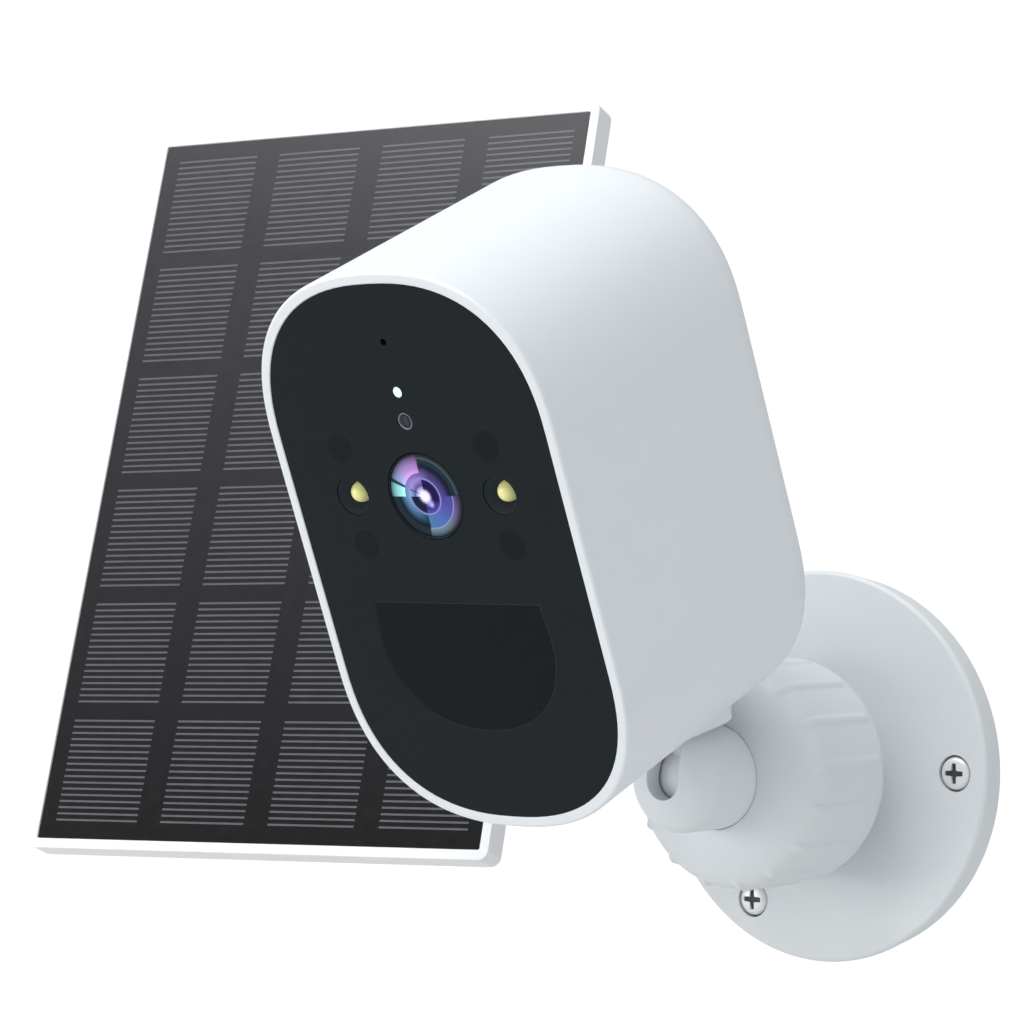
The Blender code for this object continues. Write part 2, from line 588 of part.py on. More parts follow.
def make_boards():
    holes = [circle(7.6, (0, LENS_HEIGHT), 24)]
    middle = (LED_BOARD_TOP + LED_BOARD_BOTTOM) / 2
    half = (LED_BOARD_TOP - LED_BOARD_BOTTOM) / 2
    edge = rounded_box(20.0, half, 4.0, centre=(0, middle))
    plate("led_board", [edge] + holes, 5.6, 6.8, BOARD_GREEN, camera, at_front())
    screw_spots = [(side * BOARD_SCREW_X, side * BOARD_SCREW_Z) for side in (-1, 1)]
    screw_holes = [circle(1.4, spot, 12) for spot in screw_spots]
    board = plate("main_board", [rounded_box(22, 34, 3)] + screw_holes, 24.0, 25.6, BOARD_GREEN,
                  camera, at_front())
    shield = box("board_shield", (-9, 21.8, 2), (9, 24.6, 18), None, camera, at_front())
    connector = box("board_connector", (12, 21.4, -26), (18, 24.6, -14), None, camera, at_front())
    join(board, shield, connector)
    chassis = plate("inner_chassis", [body_outline(2.2)] + screw_holes, 26.2, 27.8, GREY_PLASTIC,
                    camera, at_front())
    for side in (-1, 1):
        low, high = sorted((side * (CELL_HALF_LENGTH + GAP), side * (CELL_HALF_LENGTH + 2.3)))
        wall = box(f"cell_wall_{side}", (-19, 26.8, low), (19, 44, high), None, camera, at_front())
        join(chassis, wall)
    for index, (x, z) in enumerate(screw_spots):
        spot = at_front(x, 0, z)
        head = [(0, -22.4), (1.6, -22.4), (2.1, -22.9), (2.1, -23.7), (1.1, -23.7), (1.1, -27.5), (0, -27.5)]
        turned(f"board_screw_{index + 1}", head, STEEL, camera, spot, sides=12)
    box("rear_board", (-12, 50.2, -26), (12, 51.3, 25), BOARD_GREEN, camera, at_front(), bevel=0.2)


def make_battery():
    for side, word in ((-1, "left"), (1, "right")):
        spot = at_front(side * CELL_X, CELL_DEPTH, 0)
        half = CELL_HALF_LENGTH
        cell = [(0, half), (3.0, half), (3.0, half - 1.2), (8.6, half - 1.2), (CELL_RADIUS, half - 1.7)]
        cell += [(CELL_RADIUS, -half), (0, -half)]
        turned(f"battery_cell_{word}", cell, CELL_WRAP, camera, spot, UPRIGHT, 24)


def make_camera_inserts():
    spot = at_front(0, NECK_FROM_FRONT, -BODY_HALF_HEIGHT)
    bore = STUD_RADIUS + 0.35
    insert = [(bore, 8.2), (INSERT_RADIUS, 8.2), (INSERT_RADIUS, 0.2), (bore, 0.2)]
    turned("threaded_insert", insert, BRASS, camera, spot, UPRIGHT, 24)
    spot = at_front(0, SPEAKER_DEPTH, -BODY_HALF_HEIGHT)
    box("speaker", (-8, -6.5, 3.0), (8, 6.5, 7.5), BLACK_MATTE, camera, spot, bevel=0.4)
    box("wifi_antenna", (-12, 10, 41), (12, 19, 41.8), BRASS, camera, at_front())


def make_rear_controls():
    spot = at_front(0, BODY_DEPTH, BUTTON_HEIGHT)
    button = [(1.5, 7.6), (1.5, 2.6), (BUTTON_RADIUS, 2.6), (BUTTON_RADIUS, -0.2), (BUTTON_RADIUS - 0.6, -0.7)]
    button = [(0, 7.6)] + button + [(0, -0.7)]
    turned("power_button", button, WHITE_RUBBER, camera, spot, sides=24)
    spot = at_front(PORT_X, BODY_DEPTH, PORT_HEIGHT)
    box("usb_socket", (-4.5, -8.4, -1.65), (4.5, -0.6, 1.65), STEEL, camera, spot, bevel=0.5)
    spot = at_front(RESET_X, BODY_DEPTH, PORT_HEIGHT)
    rod("reset_button", 1.15, 0.7, 7.9, BLACK_MATTE, camera, spot, sides=12)
    hinge = at_front(FLAP_X, BODY_DEPTH + GAP, PORT_HEIGHT + FLAP_HALF_HEIGHT)
    flap_hinge = frame("port_cover_axis", camera, hinge)
    size = (FLAP_HALF_WIDTH, 1.5, 2 * FLAP_HALF_HEIGHT)
    box("port_cover", (-size[0], 0, -size[2]), size[:2] + (0,), WHITE_RUBBER, flap_hinge, bevel=0.4)


# ---- solar panel and bracket --------------------------------------------------------------------
def make_panel():
    half_width = PANEL_HALF_WIDTH + PANEL_BORDER
    half_height = PANEL_HALF_HEIGHT + PANEL_BORDER
    opening = rounded_box(PANEL_HALF_WIDTH + GAP, PANEL_HALF_HEIGHT + GAP, 0.5, 1)
    edge = rounded_box(half_width, half_height, 2.0)
    plate("panel_frame", [edge, opening], 0, PANEL_THICK, WHITE_SHELL, panel)
    inside = rounded_box(PANEL_HALF_WIDTH, PANEL_HALF_HEIGHT, 0.4, 1)
    plate("solar_laminate", [inside], 0.7, 2.1, SOLAR_DARK, panel)
    plate("panel_back_cover", [inside], 2.5, PANEL_THICK, WHITE_SHELL, panel)
    low = (-15, PANEL_THICK + GAP, -62)
    high = (15, PANEL_THICK + 5.5, -46)
    box("junction_box", low, high, WHITE_SHELL, panel, bevel=1.0)
    spot = (0, PANEL_THICK + 3.0, -62 - GAP)
    gland = [(0, 0), (2.5, 0), (1.9, -7), (1.5, -7), (1.5, -2), (0, -2)]
    turned("cable_outlet", gland, BLACK_RUBBER, panel, spot, UPRIGHT, SMALL_ROUND)


def make_panel_foot():
    """The plate and two lugs on the back of the panel, around the tilt axis."""
    back = PANEL_THICK + GAP - TILT_AXIS_FROM_GLASS
    foot = box("panel_foot", (-9.2, back, -18), (9.2, back + 2.4, 18), GREY_PLASTIC, panel_tilt, bevel=0.6)
    for side in (-1, 1):
        inner, outer = BARREL_HALF_LENGTH + GAP, BARREL_HALF_LENGTH + GAP + LUG_THICK
        low, high = sorted((side * inner, side * outer))
        outline = ear_outline(LUG_RADIUS, back + 1.2)
        join(foot, plate(f"lug_{side}", [outline], -high, -low, None, panel_tilt, rotation=FACING_RIGHT))
    cut(foot, rod("lug_hole", PIN_HOLE, -20, 20, None, panel_tilt, rotation=FACING_RIGHT, sides=SMALL_ROUND))


def make_bracket():
    front = 4.0
    edge = 1.8
    spot = (BRACKET_X, 0, BRACKET_Z)
    profile = [(0, front)] + arc(BRACKET_PLATE_RADIUS - edge, front - edge, edge, edge, 90, 0, 4)
    profile += [(BRACKET_PLATE_RADIUS, 0), (0, 0)]
    wall = turned("panel_wall_plate", profile, WHITE_MOUNT, root, spot, sides=32)
    axis_spot = (BRACKET_X, -YAW_AXIS_FROM_WALL, BRACKET_Z)
    for word, low in (("upper", EAR_START), ("lower", -EAR_START - EAR_THICK)):
        high = low + EAR_THICK
        outline = ear_outline(EAR_RADIUS, YAW_AXIS_FROM_WALL - 2.0)
        join(wall, plate(f"{word}_ear", [outline], -high, -low, None, root, axis_spot, UPRIGHT))
    cut(wall, rod("ear_hole", PIN_HOLE, -14, 14, None, root, axis_spot, UPRIGHT, SMALL_ROUND))
    for index in range(3):
        turn = math.pi / 2 + 2 * math.pi * index / 3
        across, up = 20 * math.cos(turn), 20 * math.sin(turn)
        screw_spot = (BRACKET_X + across, 0, BRACKET_Z + up)
        cut(wall, screw_hole(f"bracket_hole_{index + 1}", screw_spot, front))
        make_wall_screw(f"bracket_screw_{index + 1}", screw_spot, front)
    head = 2.3
    reach = EAR_START + EAR_THICK + GAP
    pin = [(0, reach + head), (3.4, reach + head), (3.4, reach), (PIN_RADIUS, reach), (PIN_RADIUS, -reach)]
    pin += [(3.4, -reach), (3.4, -reach - head), (0, -reach - head)]
    turned("yaw_pin", pin, STEEL, yaw_axis, rotation=UPRIGHT, sides=SMALL_ROUND)


def make_swivel_block():
    """The knuckle between the upright pin and the panel's tilt bolt."""
    half = EAR_START - GAP
    block = rod("swivel_block", EAR_RADIUS, -half, half, GREY_PLASTIC, yaw_axis, rotation=UPRIGHT, sides=24)
    arm = box("block_arm", (-5.6, -SWIVEL_ARM, -4), (5.6, -2, 4), None, yaw_axis)
    tilt_spot = (0, -SWIVEL_ARM, 0)
    length = BARREL_HALF_LENGTH
    barrel = rod("block_barrel", LUG_RADIUS, -length, length, None, yaw_axis, tilt_spot, FACING_RIGHT, 24)
    join(block, arm, barrel)
    upright = rod("block_upright_hole", PIN_HOLE, -20, 20, None, yaw_axis, rotation=UPRIGHT, sides=16)
    level = rod("block_level_hole", PIN_HOLE, -20, 20, None, yaw_axis, tilt_spot, FACING_RIGHT, 16)
    cut(block, upright, level)
    outer = BARREL_HALF_LENGTH + LUG_THICK + 2 * GAP
    bolt = [(0, 13.6), (PIN_RADIUS, 13.6), (PIN_RADIUS, -outer), (3.6, -outer), (3.6, -outer - 2.8)]
    bolt += [(0, -outer - 2.8)]
    turned("tilt_bolt", bolt, STEEL, yaw_axis, tilt_spot, FACING_RIGHT, SMALL_ROUND)
    knob = [(0, outer + 6.6), (5.8, outer + 6.6), (7.4, outer + 5.4), (7.4, outer + 1.4), (4.4, outer)]
    knob += [(PIN_HOLE, outer), (PIN_HOLE, 14.0), (0, 14.0)]
    turned("tilt_knob", knob, GREY_PLASTIC, yaw_axis, tilt_spot, FACING_RIGHT, 24)


make_wall_plate()
make_collar()
make_swivel_socket()
make_pressure_pad()
make_ball_and_neck()
make_outer_shell()
make_front_panel()
make_lens()
make_lamps()
make_small_front_pieces()
make_boards()
make_battery()
make_camera_inserts()
make_rear_controls()
make_panel()
make_panel_foot()
make_bracket()
make_swivel_block()
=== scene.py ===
"""Looks of the solar-powered security camera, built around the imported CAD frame.

Lengths are in millimetres, in the frame that each piece names, and MM turns them into metres.
A turned piece's profile is (radius, height) pairs, and its height runs along the frame's local Z.
"""

import json
from math import acos, copysign, cos, degrees, pi, radians, sin

import bmesh
import bpy
from mathutils import Matrix, Vector


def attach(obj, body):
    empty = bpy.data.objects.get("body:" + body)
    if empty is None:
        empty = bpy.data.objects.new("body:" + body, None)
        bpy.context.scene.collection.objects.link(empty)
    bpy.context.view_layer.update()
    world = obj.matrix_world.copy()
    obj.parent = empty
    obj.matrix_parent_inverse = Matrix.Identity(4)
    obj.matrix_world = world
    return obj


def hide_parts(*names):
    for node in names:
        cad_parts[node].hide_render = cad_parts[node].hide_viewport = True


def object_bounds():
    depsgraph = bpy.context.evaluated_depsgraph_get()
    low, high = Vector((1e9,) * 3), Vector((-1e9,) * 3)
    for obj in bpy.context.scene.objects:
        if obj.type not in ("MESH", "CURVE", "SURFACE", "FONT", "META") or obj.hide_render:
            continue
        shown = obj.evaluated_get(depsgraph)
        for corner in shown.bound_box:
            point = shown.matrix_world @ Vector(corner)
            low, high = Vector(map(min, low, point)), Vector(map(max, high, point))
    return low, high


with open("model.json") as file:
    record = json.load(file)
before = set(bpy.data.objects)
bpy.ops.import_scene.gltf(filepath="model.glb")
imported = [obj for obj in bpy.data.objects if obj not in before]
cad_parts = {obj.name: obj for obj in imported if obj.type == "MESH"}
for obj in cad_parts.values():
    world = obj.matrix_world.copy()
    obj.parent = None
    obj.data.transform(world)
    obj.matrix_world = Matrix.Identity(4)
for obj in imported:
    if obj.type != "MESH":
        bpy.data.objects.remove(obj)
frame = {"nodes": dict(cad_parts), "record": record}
cad_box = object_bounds()

MM = 0.001
UP = Matrix.Identity(4)
TO_FRONT = Matrix.Rotation(pi / 2, 4, "X")       # turns local +Z to -Y
TO_RIGHT = Matrix.Rotation(pi / 2, 4, "Y")       # turns local +Z to +X

# ---- driving dimensions, in millimetres; the CAD's are the same or within 1 mm ----
# Camera body and its front face.
BODY_HALF_WIDTH = 30.0
BODY_HALF_HEIGHT = 49.0
BODY_DEPTH = 60.0
BODY_END_HEIGHT = 28.5
BODY_CURVE = 2.42
BODY_REAR_RADIUS = 8.0
SHELL_WALL = 1.55
RIM_WIDTH = 1.95
CAMERA_PITCH = radians(22.8)
NECK_FROM_FRONT = 48.5
LENS_HEIGHT = 10.6
LENS_RADIUS = 7.45
GLASS_RADIUS = 7.2
LAMP_X = 15.6
CUP_RADIUS = 3.35
LED_RADIUS = 1.8
IR_X = 15.5
IR_HEIGHTS = (19.2, 2.1)
IR_RADIUS = 2.6
STATUS_HEIGHT = 28.6
STATUS_RADIUS = 0.92
LIGHT_SENSOR_HEIGHT = 23.6
LIGHT_SENSOR_RADIUS = 1.25
LIGHT_SENSOR_HOLE = 1.45
MICROPHONE_HEIGHT = 37.2
MICROPHONE_RADIUS = 0.6
PIR_TOP = -8.3
PIR_TOP_HALF_WIDTH = 17.7
PIR_HALF_WIDTH = 18.3
PIR_WIDEST = -14.5
PIR_BOTTOM = -31.3
PIR_CURVE = 2.2

# Rear and underside of the body.
BUTTON_HEIGHT = 18.0
BUTTON_RADIUS = 4.0
PORT_HEIGHT = -18.0
PORT_X = -4.0
PORT_HALF_WIDTH = 5.2
PORT_HALF_HEIGHT = 2.4
RESET_X = 5.5
RESET_HOLE_RADIUS = 1.5
FLAP_X = -0.5
FLAP_HALF_WIDTH = 11.0
FLAP_HALF_HEIGHT = 4.6
FLAP_THICK = 1.5
INSERT_HOLE_RADIUS = 5.4
SPEAKER_DEPTH = 15.6
SLIT_STEP = 3.6
SLIT_HALF_LENGTH = 6.0
SLIT_HALF_WIDTH = 0.7

# Ball mount.
PLATE_RADIUS = 36.3
PLATE_BACK_RADIUS = 35.4
PLATE_THICK = 6.5
PLATE_EDGE_RADIUS = 0.9
POST_RADIUS = 13.6
POST_BORE = 10.4
POST_LENGTH = 20.0
COLLAR_RADIUS = 20.5
COLLAR_BACK = 8.9
COLLAR_SHOULDER = 26.7
COLLAR_FRONT = 33.2
COLLAR_OPENING = 9.6
COLLAR_CONE_BACK = 24.8
COLLAR_CONE_FRONT = 31.0
COLLAR_RIBS = 16
COLLAR_FIRST_RIB = 0.33
RIB_FROM_BACK = 1.4
RIB_PAST_SHOULDER = 3.6
RIB_RISE = 0.4
RIB_HEIGHT = 0.45
RIB_HALF_WIDTH = 1.05
RIB_BACK_FADE = 0.8
RIB_FRONT_FADE = 1.2
DRUM_RADIUS = COLLAR_OPENING - 0.12
DRUM_SHOULDER = 43.0
DRUM_FRONT = 48.7
FLANGE_RADIUS = 13.3
SLOT_HALF_WIDTH = 3.4
SLOT_BACK = 1.5
BALL_FROM_PLATE = 38.7
BALL_RADIUS = 6.6
NECK_RADIUS = 2.9
NECK_LENGTH = 14.66
STUD_RADIUS = 3.0
STUD_ROOT_RADIUS = 1.3
NUT_LOW = 10.91
NUT_RADIUS = 11.0
NUT_TURN = radians(4)
SCREW_CIRCLE = 29.7
SCREW_SEAT_DEPTH = 2.2
SCREW_HEAD_RADIUS = 3.05
SCREW_HEAD_RISE = 0.4
SCREW_SHANK_RADIUS = 1.9
CROSS_LENGTH = 3.7
CROSS_WIDTH = 1.05
CROSS_DEPTH = 1.1

# Solar panel and its bracket.
PANEL_HALF_WIDTH = 48.7
PANEL_HALF_HEIGHT = 72.8
PANEL_BORDER = 2.0
PANEL_THICK = 5.2
PANEL_CORNER = 2.0
LAMINATE_DEPTH = 0.35
PANEL_YAW = radians(10.0)
PANEL_LEAN = radians(19.6)
PANEL_ROLL = radians(-1.3)
BRACKET_X = -93.2
BRACKET_Z = 49.6
BRACKET_PLATE_RADIUS = 27.0
BRACKET_PLATE_THICK = 4.0
BRACKET_SCREW_CIRCLE = 20.0
YAW_AXIS_FROM_WALL = 17.0
SWIVEL_ARM = 20.0
TILT_AXIS_FROM_GLASS = 14.0
LUG_RADIUS = 5.0
LUG_THICK = 2.8
BARREL_HALF_LENGTH = 6.1
EAR_RADIUS = 6.0
EAR_START = 7.0
EAR_THICK = 3.0
PIN_RADIUS = 2.0
PIN_HOLE = 2.3
PIN_HEAD_RADIUS = 3.4
PIN_HEAD_THICK = 2.3
BOLT_HEAD_RADIUS = 3.6
BOLT_HEAD_THICK = 2.8
BOLT_END = 13.6
ARM_HALF_WIDTH = 5.6
ARM_HALF_HEIGHT = 4.0
FOOT_HALF_WIDTH = 9.2
FOOT_HALF_HEIGHT = 18.0
FOOT_THICK = 2.4
KNOB_RADIUS = 7.4
KNOB_LENGTH = 6.6
KNOB_GRIPS = 12
KNOB_GRIP_DEPTH = 0.35
JUNCTION_HALF_WIDTH = 15.0
JUNCTION_BOTTOM = -62.0
JUNCTION_TOP = -46.0
JUNCTION_BACK = 5.5
GLAND_RINGS = 4

# Cells printed on the solar laminate.
CELL_COLUMNS = 4
CELL_ROWS = 6
CELL_WIDTH = 18.7
CELL_STEP_X = 24.05
CELL_STEP_Z = 23.68
CELL_SHIFT = 0.25
FINGERS = 17
FINGER_STEP = 1.2375
FINGER_WIDTH = 0.38

GAP = 0.3                      # between pieces that move or fit together
THROUGH = 20.0                 # a bore's tool reaches this far either way
ROUND = 96                     # sides of a large turned piece
SMALL_ROUND = 40

# ---- view, light and floor, in metres ----
CAMERA_PLACE = (0.3776, -0.5588, 0.0472)
CAMERA_HEADING = (-0.6325, 0.7745, 0.0)
FOCAL_LENGTH_MM = 126.2
SENSOR_WIDTH_MM = 36.0
SKY_COLOUR = (0.94, 0.97, 1.0, 1)
SKY_STRENGTH = 0.56
SEEN_WHITE = 1.05              # the background's brightness as the camera sees it
FLOOR_COLOUR = (0.7, 0.705, 0.71, 1)
FLOOR_HALF_SIZE = 6.0
FLOOR_DROP = 0.1               # below the lowest point of the object
LIGHTS = (                     # name, place, size, watts
    ("key_top", (-0.25, -0.75, 1.35), (1.3, 1.0), 18.0),
    ("front_fill", (-0.9, -1.3, -0.05), (0.9, 0.9), 11.3),
    ("side_fill", (1.3, -0.2, 0.35), (0.9, 0.9), 1.5),
)


# ---- frames that pieces are built in ----
def shift(x, y, z):
    return Matrix.Translation(Vector((x, y, z)) * MM)


def turn(angle, axis):
    return Matrix.Rotation(angle, 4, axis)


BALL = shift(0, -(PLATE_THICK + BALL_FROM_PLATE), 0)
TILT = BALL @ turn(CAMERA_PITCH, "X")
FACE = TILT @ shift(0, -NECK_FROM_FRONT, NECK_LENGTH + BODY_HALF_HEIGHT)
BRACKET = shift(BRACKET_X, 0, BRACKET_Z)
YAW = BRACKET @ shift(0, -YAW_AXIS_FROM_WALL, 0) @ turn(PANEL_YAW, "Z")
PANEL_TILT = YAW @ shift(0, -SWIVEL_ARM, 0) @ turn(-PANEL_LEAN, "X")
PANEL = PANEL_TILT @ shift(0, -TILT_AXIS_FROM_GLASS, 0) @ turn(PANEL_ROLL, "Y")


def on_body(across, up, depth=0.0):
    """A frame at this depth behind the camera's front, its Z pointing forward."""
    return FACE @ shift(across, depth, up) @ TO_FRONT


# ---- materials ----
class Finish:
    """A node material whose colour, roughness and bump vary with the place on the piece.

    The colour strays by mottle. Bumps are grain wide and grain_depth high, in millimetres.
    """

    def __init__(self, name, colour, roughness, mottle=0.03, grain=0.25, grain_depth=0.004, **sockets):
        self.material = bpy.data.materials.new(name)
        self.material.use_nodes = True
        self.tree = self.material.node_tree
        self.shader = self.tree.nodes["Principled BSDF"]
        for socket, value in sockets.items():
            self.shader.inputs[socket.replace("_", " ")].default_value = value
        self.place = self.node("ShaderNodeTexCoord").outputs["Object"]
        cloud = self.noise(9.0, 3)
        darker = tuple(channel * (1 - mottle) for channel in colour)
        lighter = tuple(min(1.0, channel * (1 + mottle)) for channel in colour)
        self.colour = self.mix(cloud, (*darker, 1), (*lighter, 1))
        self.send(self.colour, self.shader.inputs["Base Color"])
        worn = self.ranged(self.noise(2.5, 2), 0.3, 0.7, roughness * 0.85, min(1.0, roughness * 1.15))
        self.send(worn, self.shader.inputs["Roughness"])
        if grain_depth:
            bump = self.node("ShaderNodeBump")
            bump.inputs["Distance"].default_value = grain_depth * MM
            self.send(self.noise(grain, 2), bump.inputs["Height"])
            self.send(bump.outputs["Normal"], self.shader.inputs["Normal"])

    def node(self, kind):
        return self.tree.nodes.new(kind)

    def send(self, output, target):
        self.tree.links.new(output, target)

    def texture(self, kind, size, **sockets):
        """The outputs of a texture whose features are about this many millimetres across."""
        made = self.node("ShaderNodeTex" + kind)
        made.inputs["Scale"].default_value = 1.0 / (size * MM)
        for socket, value in sockets.items():
            made.inputs[socket.replace("_", " ")].default_value = value
        self.send(self.place, made.inputs["Vector"])
        return made.outputs

    def noise(self, size, detail):
        return self.texture("Noise", size, Detail=detail)["Fac"]

    def feed(self, value, target):
        """Gives a socket a fixed value, or links an output to it."""
        if isinstance(value, (int, float, tuple)):
            target.default_value = value
        else:
            self.send(value, target)

    def mix(self, factor, first, second, blend="MIX"):
        made = self.node("ShaderNodeMix")
        made.data_type = "RGBA"
        made.blend_type = blend
        self.feed(factor, made.inputs[0])
        self.feed(first, made.inputs[6])
        self.feed(second, made.inputs[7])
        return made.outputs[2]

    def times(self, first, second):
        return self.mix(1.0, first, second, "MULTIPLY")

    def ranged(self, value, low, high, to_low, to_high):
        """Turns low to high into to_low to to_high, and stays at the ends beyond."""
        made = self.node("ShaderNodeMapRange")
        for index, part in enumerate((value, low, high, to_low, to_high)):
            self.feed(part, made.inputs[index])
        return made.outputs["Result"]

    def maths(self, operation, *values):
        made = self.node("ShaderNodeMath")
        made.operation = operation
        for index, value in enumerate(values):
            self.feed(value, made.inputs[index])
        return made.outputs[0]

    def parts(self):
        """The place's X, Y and Z."""
        split = self.node("ShaderNodeSeparateXYZ")
        self.send(self.place, split.inputs[0])
        return split.outputs

    def ramp(self, factor, stops, interpolation="LINEAR"):
        """The colour at factor among (position, colour) stops. A single number is a grey."""
        made = self.node("ShaderNodeValToRGB")
        made.color_ramp.interpolation = interpolation
        elements = made.color_ramp.elements
        while len(elements) < len(stops):
            elements.new(1.0)
        for element, (position, colour) in zip(elements, stops):
            element.position = position
            element.color = (*colour, 1) if isinstance(colour, tuple) else (colour, colour, colour, 1)
        self.send(factor, made.inputs[0])
        return made.outputs[0]

    def radius(self, across=0.0, up=0.0, mirrored=False):
        """Distance in millimetres from a place on the piece's XZ face."""
        x, _, z = self.parts()
        if mirrored:
            x = self.maths("ABSOLUTE", x)
        dx = self.maths("SUBTRACT", x, across * MM)
        dz = self.maths("SUBTRACT", z, up * MM)
        squares = self.maths("ADD", self.maths("MULTIPLY", dx, dx), self.maths("MULTIPLY", dz, dz))
        return self.maths("DIVIDE", self.maths("SQRT", squares), MM)

    def coloured(self, colour):
        """The material, with its colour taken from this output."""
        self.send(colour, self.shader.inputs["Base Color"])
        return self.material


def black_panel_finish():
    """Smoked acrylic, with a darker disc over each infrared LED."""
    made = Finish("black_panel", (0.0095, 0.0135, 0.0158), 0.2, mottle=0.05, grain=0.5, grain_depth=0.0003,
                  Specular_IOR_Level=0.1)
    blur = 0.08
    upper, lower = [
        made.ranged(made.radius(IR_X, height, True), IR_RADIUS - blur, IR_RADIUS + blur, 1.0, 0.0)
        for height in IR_HEIGHTS
    ]
    discs = made.maths("MAXIMUM", upper, lower)
    return made.coloured(made.mix(discs, made.colour, (0.0062, 0.0088, 0.0104, 1)))


def sensor_finish():
    """Dark blue glass with the lighter sensor in the middle of it."""
    made = Finish("sensor_glass", (0.03, 0.03, 0.05), 0.25, grain_depth=0.0, Specular_IOR_Level=0.25)
    out = made.maths("DIVIDE", made.radius(), LIGHT_SENSOR_RADIUS)
    return made.coloured(made.ramp(out, [
        (0.1, (0.16, 0.17, 0.21)), (0.34, (0.05, 0.055, 0.075)), (0.46, (0.012, 0.016, 0.028)),
        (0.62, (0.02, 0.024, 0.04)), (0.9, (0.055, 0.055, 0.08)),
    ]))


def lens_reflection_finish():
    """Coated glass with its reflections painted in: a broken outer ring, a violet to blue middle ring, and a
    painted highlight in the middle.

    around runs from 0 to 1 anticlockwise from the left, and out from 0 in the middle to 1 at the edge.
    """
    made = Finish("lens_painted_reflections", (0.03, 0.03, 0.08), 0.3, grain_depth=0.0, Specular_IOR_Level=0.1)
    x, _, z = made.parts()
    around = made.maths("DIVIDE", made.maths("ARCTAN2", z, x), 2 * pi)
    around = made.maths("ADD", around, 0.5)
    out = made.maths("DIVIDE", made.radius(), GLASS_RADIUS)
    dark_teal = (0.01, 0.03, 0.055)
    mint = (0.26, 0.66, 0.64)
    sky_blue = (0.13, 0.3, 0.52)
    pale_blue = (0.42, 0.55, 0.78)

    # The outer ring of painted reflections, with a thin line near its edge; painted shade darkens it towards
    # the rim and in two sectors.
    outer = made.ramp(around, [
        (0.0, (0.01, 0.026, 0.038)), (0.228, (0.01, 0.028, 0.04)), (0.232, (0.16, 0.26, 0.35)),
        (0.32, (0.17, 0.27, 0.33)), (0.38, (0.19, 0.18, 0.3)), (0.45, (0.17, 0.1, 0.31)),
        (0.498, (0.09, 0.08, 0.18)), (0.503, (0.01, 0.03, 0.05)), (0.746, (0.014, 0.034, 0.05)),
        (0.752, (0.32, 0.18, 0.42)), (0.84, (0.34, 0.24, 0.52)), (0.92, (0.27, 0.34, 0.58)),
        (0.925, dark_teal), (0.937, dark_teal), (0.942, mint), (0.998, mint),
    ])
    painted_edge_shade = made.ramp(out, [
        (0.55, (2.1, 1.7, 1.8)), (0.68, (1.3, 1.15, 1.2)), (0.78, 0.95), (0.87, 0.65),
        (0.94, (0.32, 0.33, 0.34)), (1.0, (0.03, 0.04, 0.04)),
    ])
    edge_line = made.ramp(out, [
        (0.88, 0.0), (0.925, (0.05, 0.075, 0.09)), (0.96, (0.015, 0.02, 0.025)), (1.0, 0.0),
    ])
    upper_right = made.ramp(around, [(0.0, 0.1), (0.503, 1.0), (0.746, 0.1)], "CONSTANT")
    edge_line = made.times(edge_line, upper_right)
    dark_gap = made.ramp(out, [(0.74, 0.2), (0.78, 0.5), (0.84, 1.1)])
    dark_sectors = made.ramp(around, [(0.0, 1.0), (0.231, 0.0), (0.503, 1.0), (0.749, 0.0)], "CONSTANT")
    painted_edge_shade = made.times(painted_edge_shade, made.mix(dark_sectors, (1, 1, 1, 1), dark_gap))
    outer = made.mix(1.0, made.times(outer, painted_edge_shade), edge_line, "ADD")

    # The middle ring, with painted shade that dims it outwards except at the lower right.
    middle = made.ramp(around, [
        (0.0, sky_blue), (0.11, (0.08, 0.2, 0.36)), (0.2, (0.021, 0.09, 0.15)),
        (0.228, (0.012, 0.05, 0.08)), (0.232, (0.07, 0.2, 0.4)), (0.33, (0.08, 0.15, 0.47)),
        (0.45, (0.09, 0.07, 0.37)), (0.56, (0.07, 0.045, 0.22)), (0.67, (0.07, 0.05, 0.17)),
        (0.75, (0.19, 0.12, 0.4)), (0.86, (0.28, 0.19, 0.54)), (1.0, sky_blue),
    ])
    painted_outward_shade = made.ramp(out, [(0.45, 1.1), (0.58, 0.7), (0.7, (0.1, 0.14, 0.16))])
    lower_right = made.ramp(around, [(0.0, 0.0), (0.231, 1.0), (0.5, 0.0)], "CONSTANT")
    painted_outward_shade = made.mix(lower_right, painted_outward_shade, (0.9, 0.9, 0.9, 1))
    middle = made.times(middle, painted_outward_shade)

    # The inner disc, with a painted highlight in the middle and a smaller one beside it.
    disc = made.ramp(around, [
        (0.0, (0.01, 0.022, 0.07)), (0.228, (0.012, 0.022, 0.06)), (0.232, (0.13, 0.13, 0.44)),
        (0.42, (0.1, 0.07, 0.34)), (0.45, (0.025, 0.012, 0.1)), (0.745, (0.02, 0.01, 0.1)),
        (0.752, (0.42, 0.28, 0.62)), (0.92, (0.5, 0.46, 0.78)), (0.93, (0.02, 0.04, 0.12)),
        (0.945, pale_blue), (0.998, pale_blue),
    ])
    shell = made.ramp(out, [
        (0.13, (1.5, 1.5, 1.4)), (0.21, 0.9), (0.27, (0.2, 0.18, 0.35)), (0.33, (0.4, 0.37, 0.6)),
        (0.4, (0.6, 0.6, 0.8)),
    ])
    disc = made.times(disc, shell)
    spot = made.ranged(out, 0.1, 0.19, 1.0, 0.0)
    disc = made.mix(spot, disc, (0.86, 0.8, 1.0, 1))
    second = made.ranged(made.radius(0.9, -1.4), 0.2, 0.75, 0.8, 0.0)
    disc = made.mix(second, disc, (0.55, 0.5, 0.95, 1))
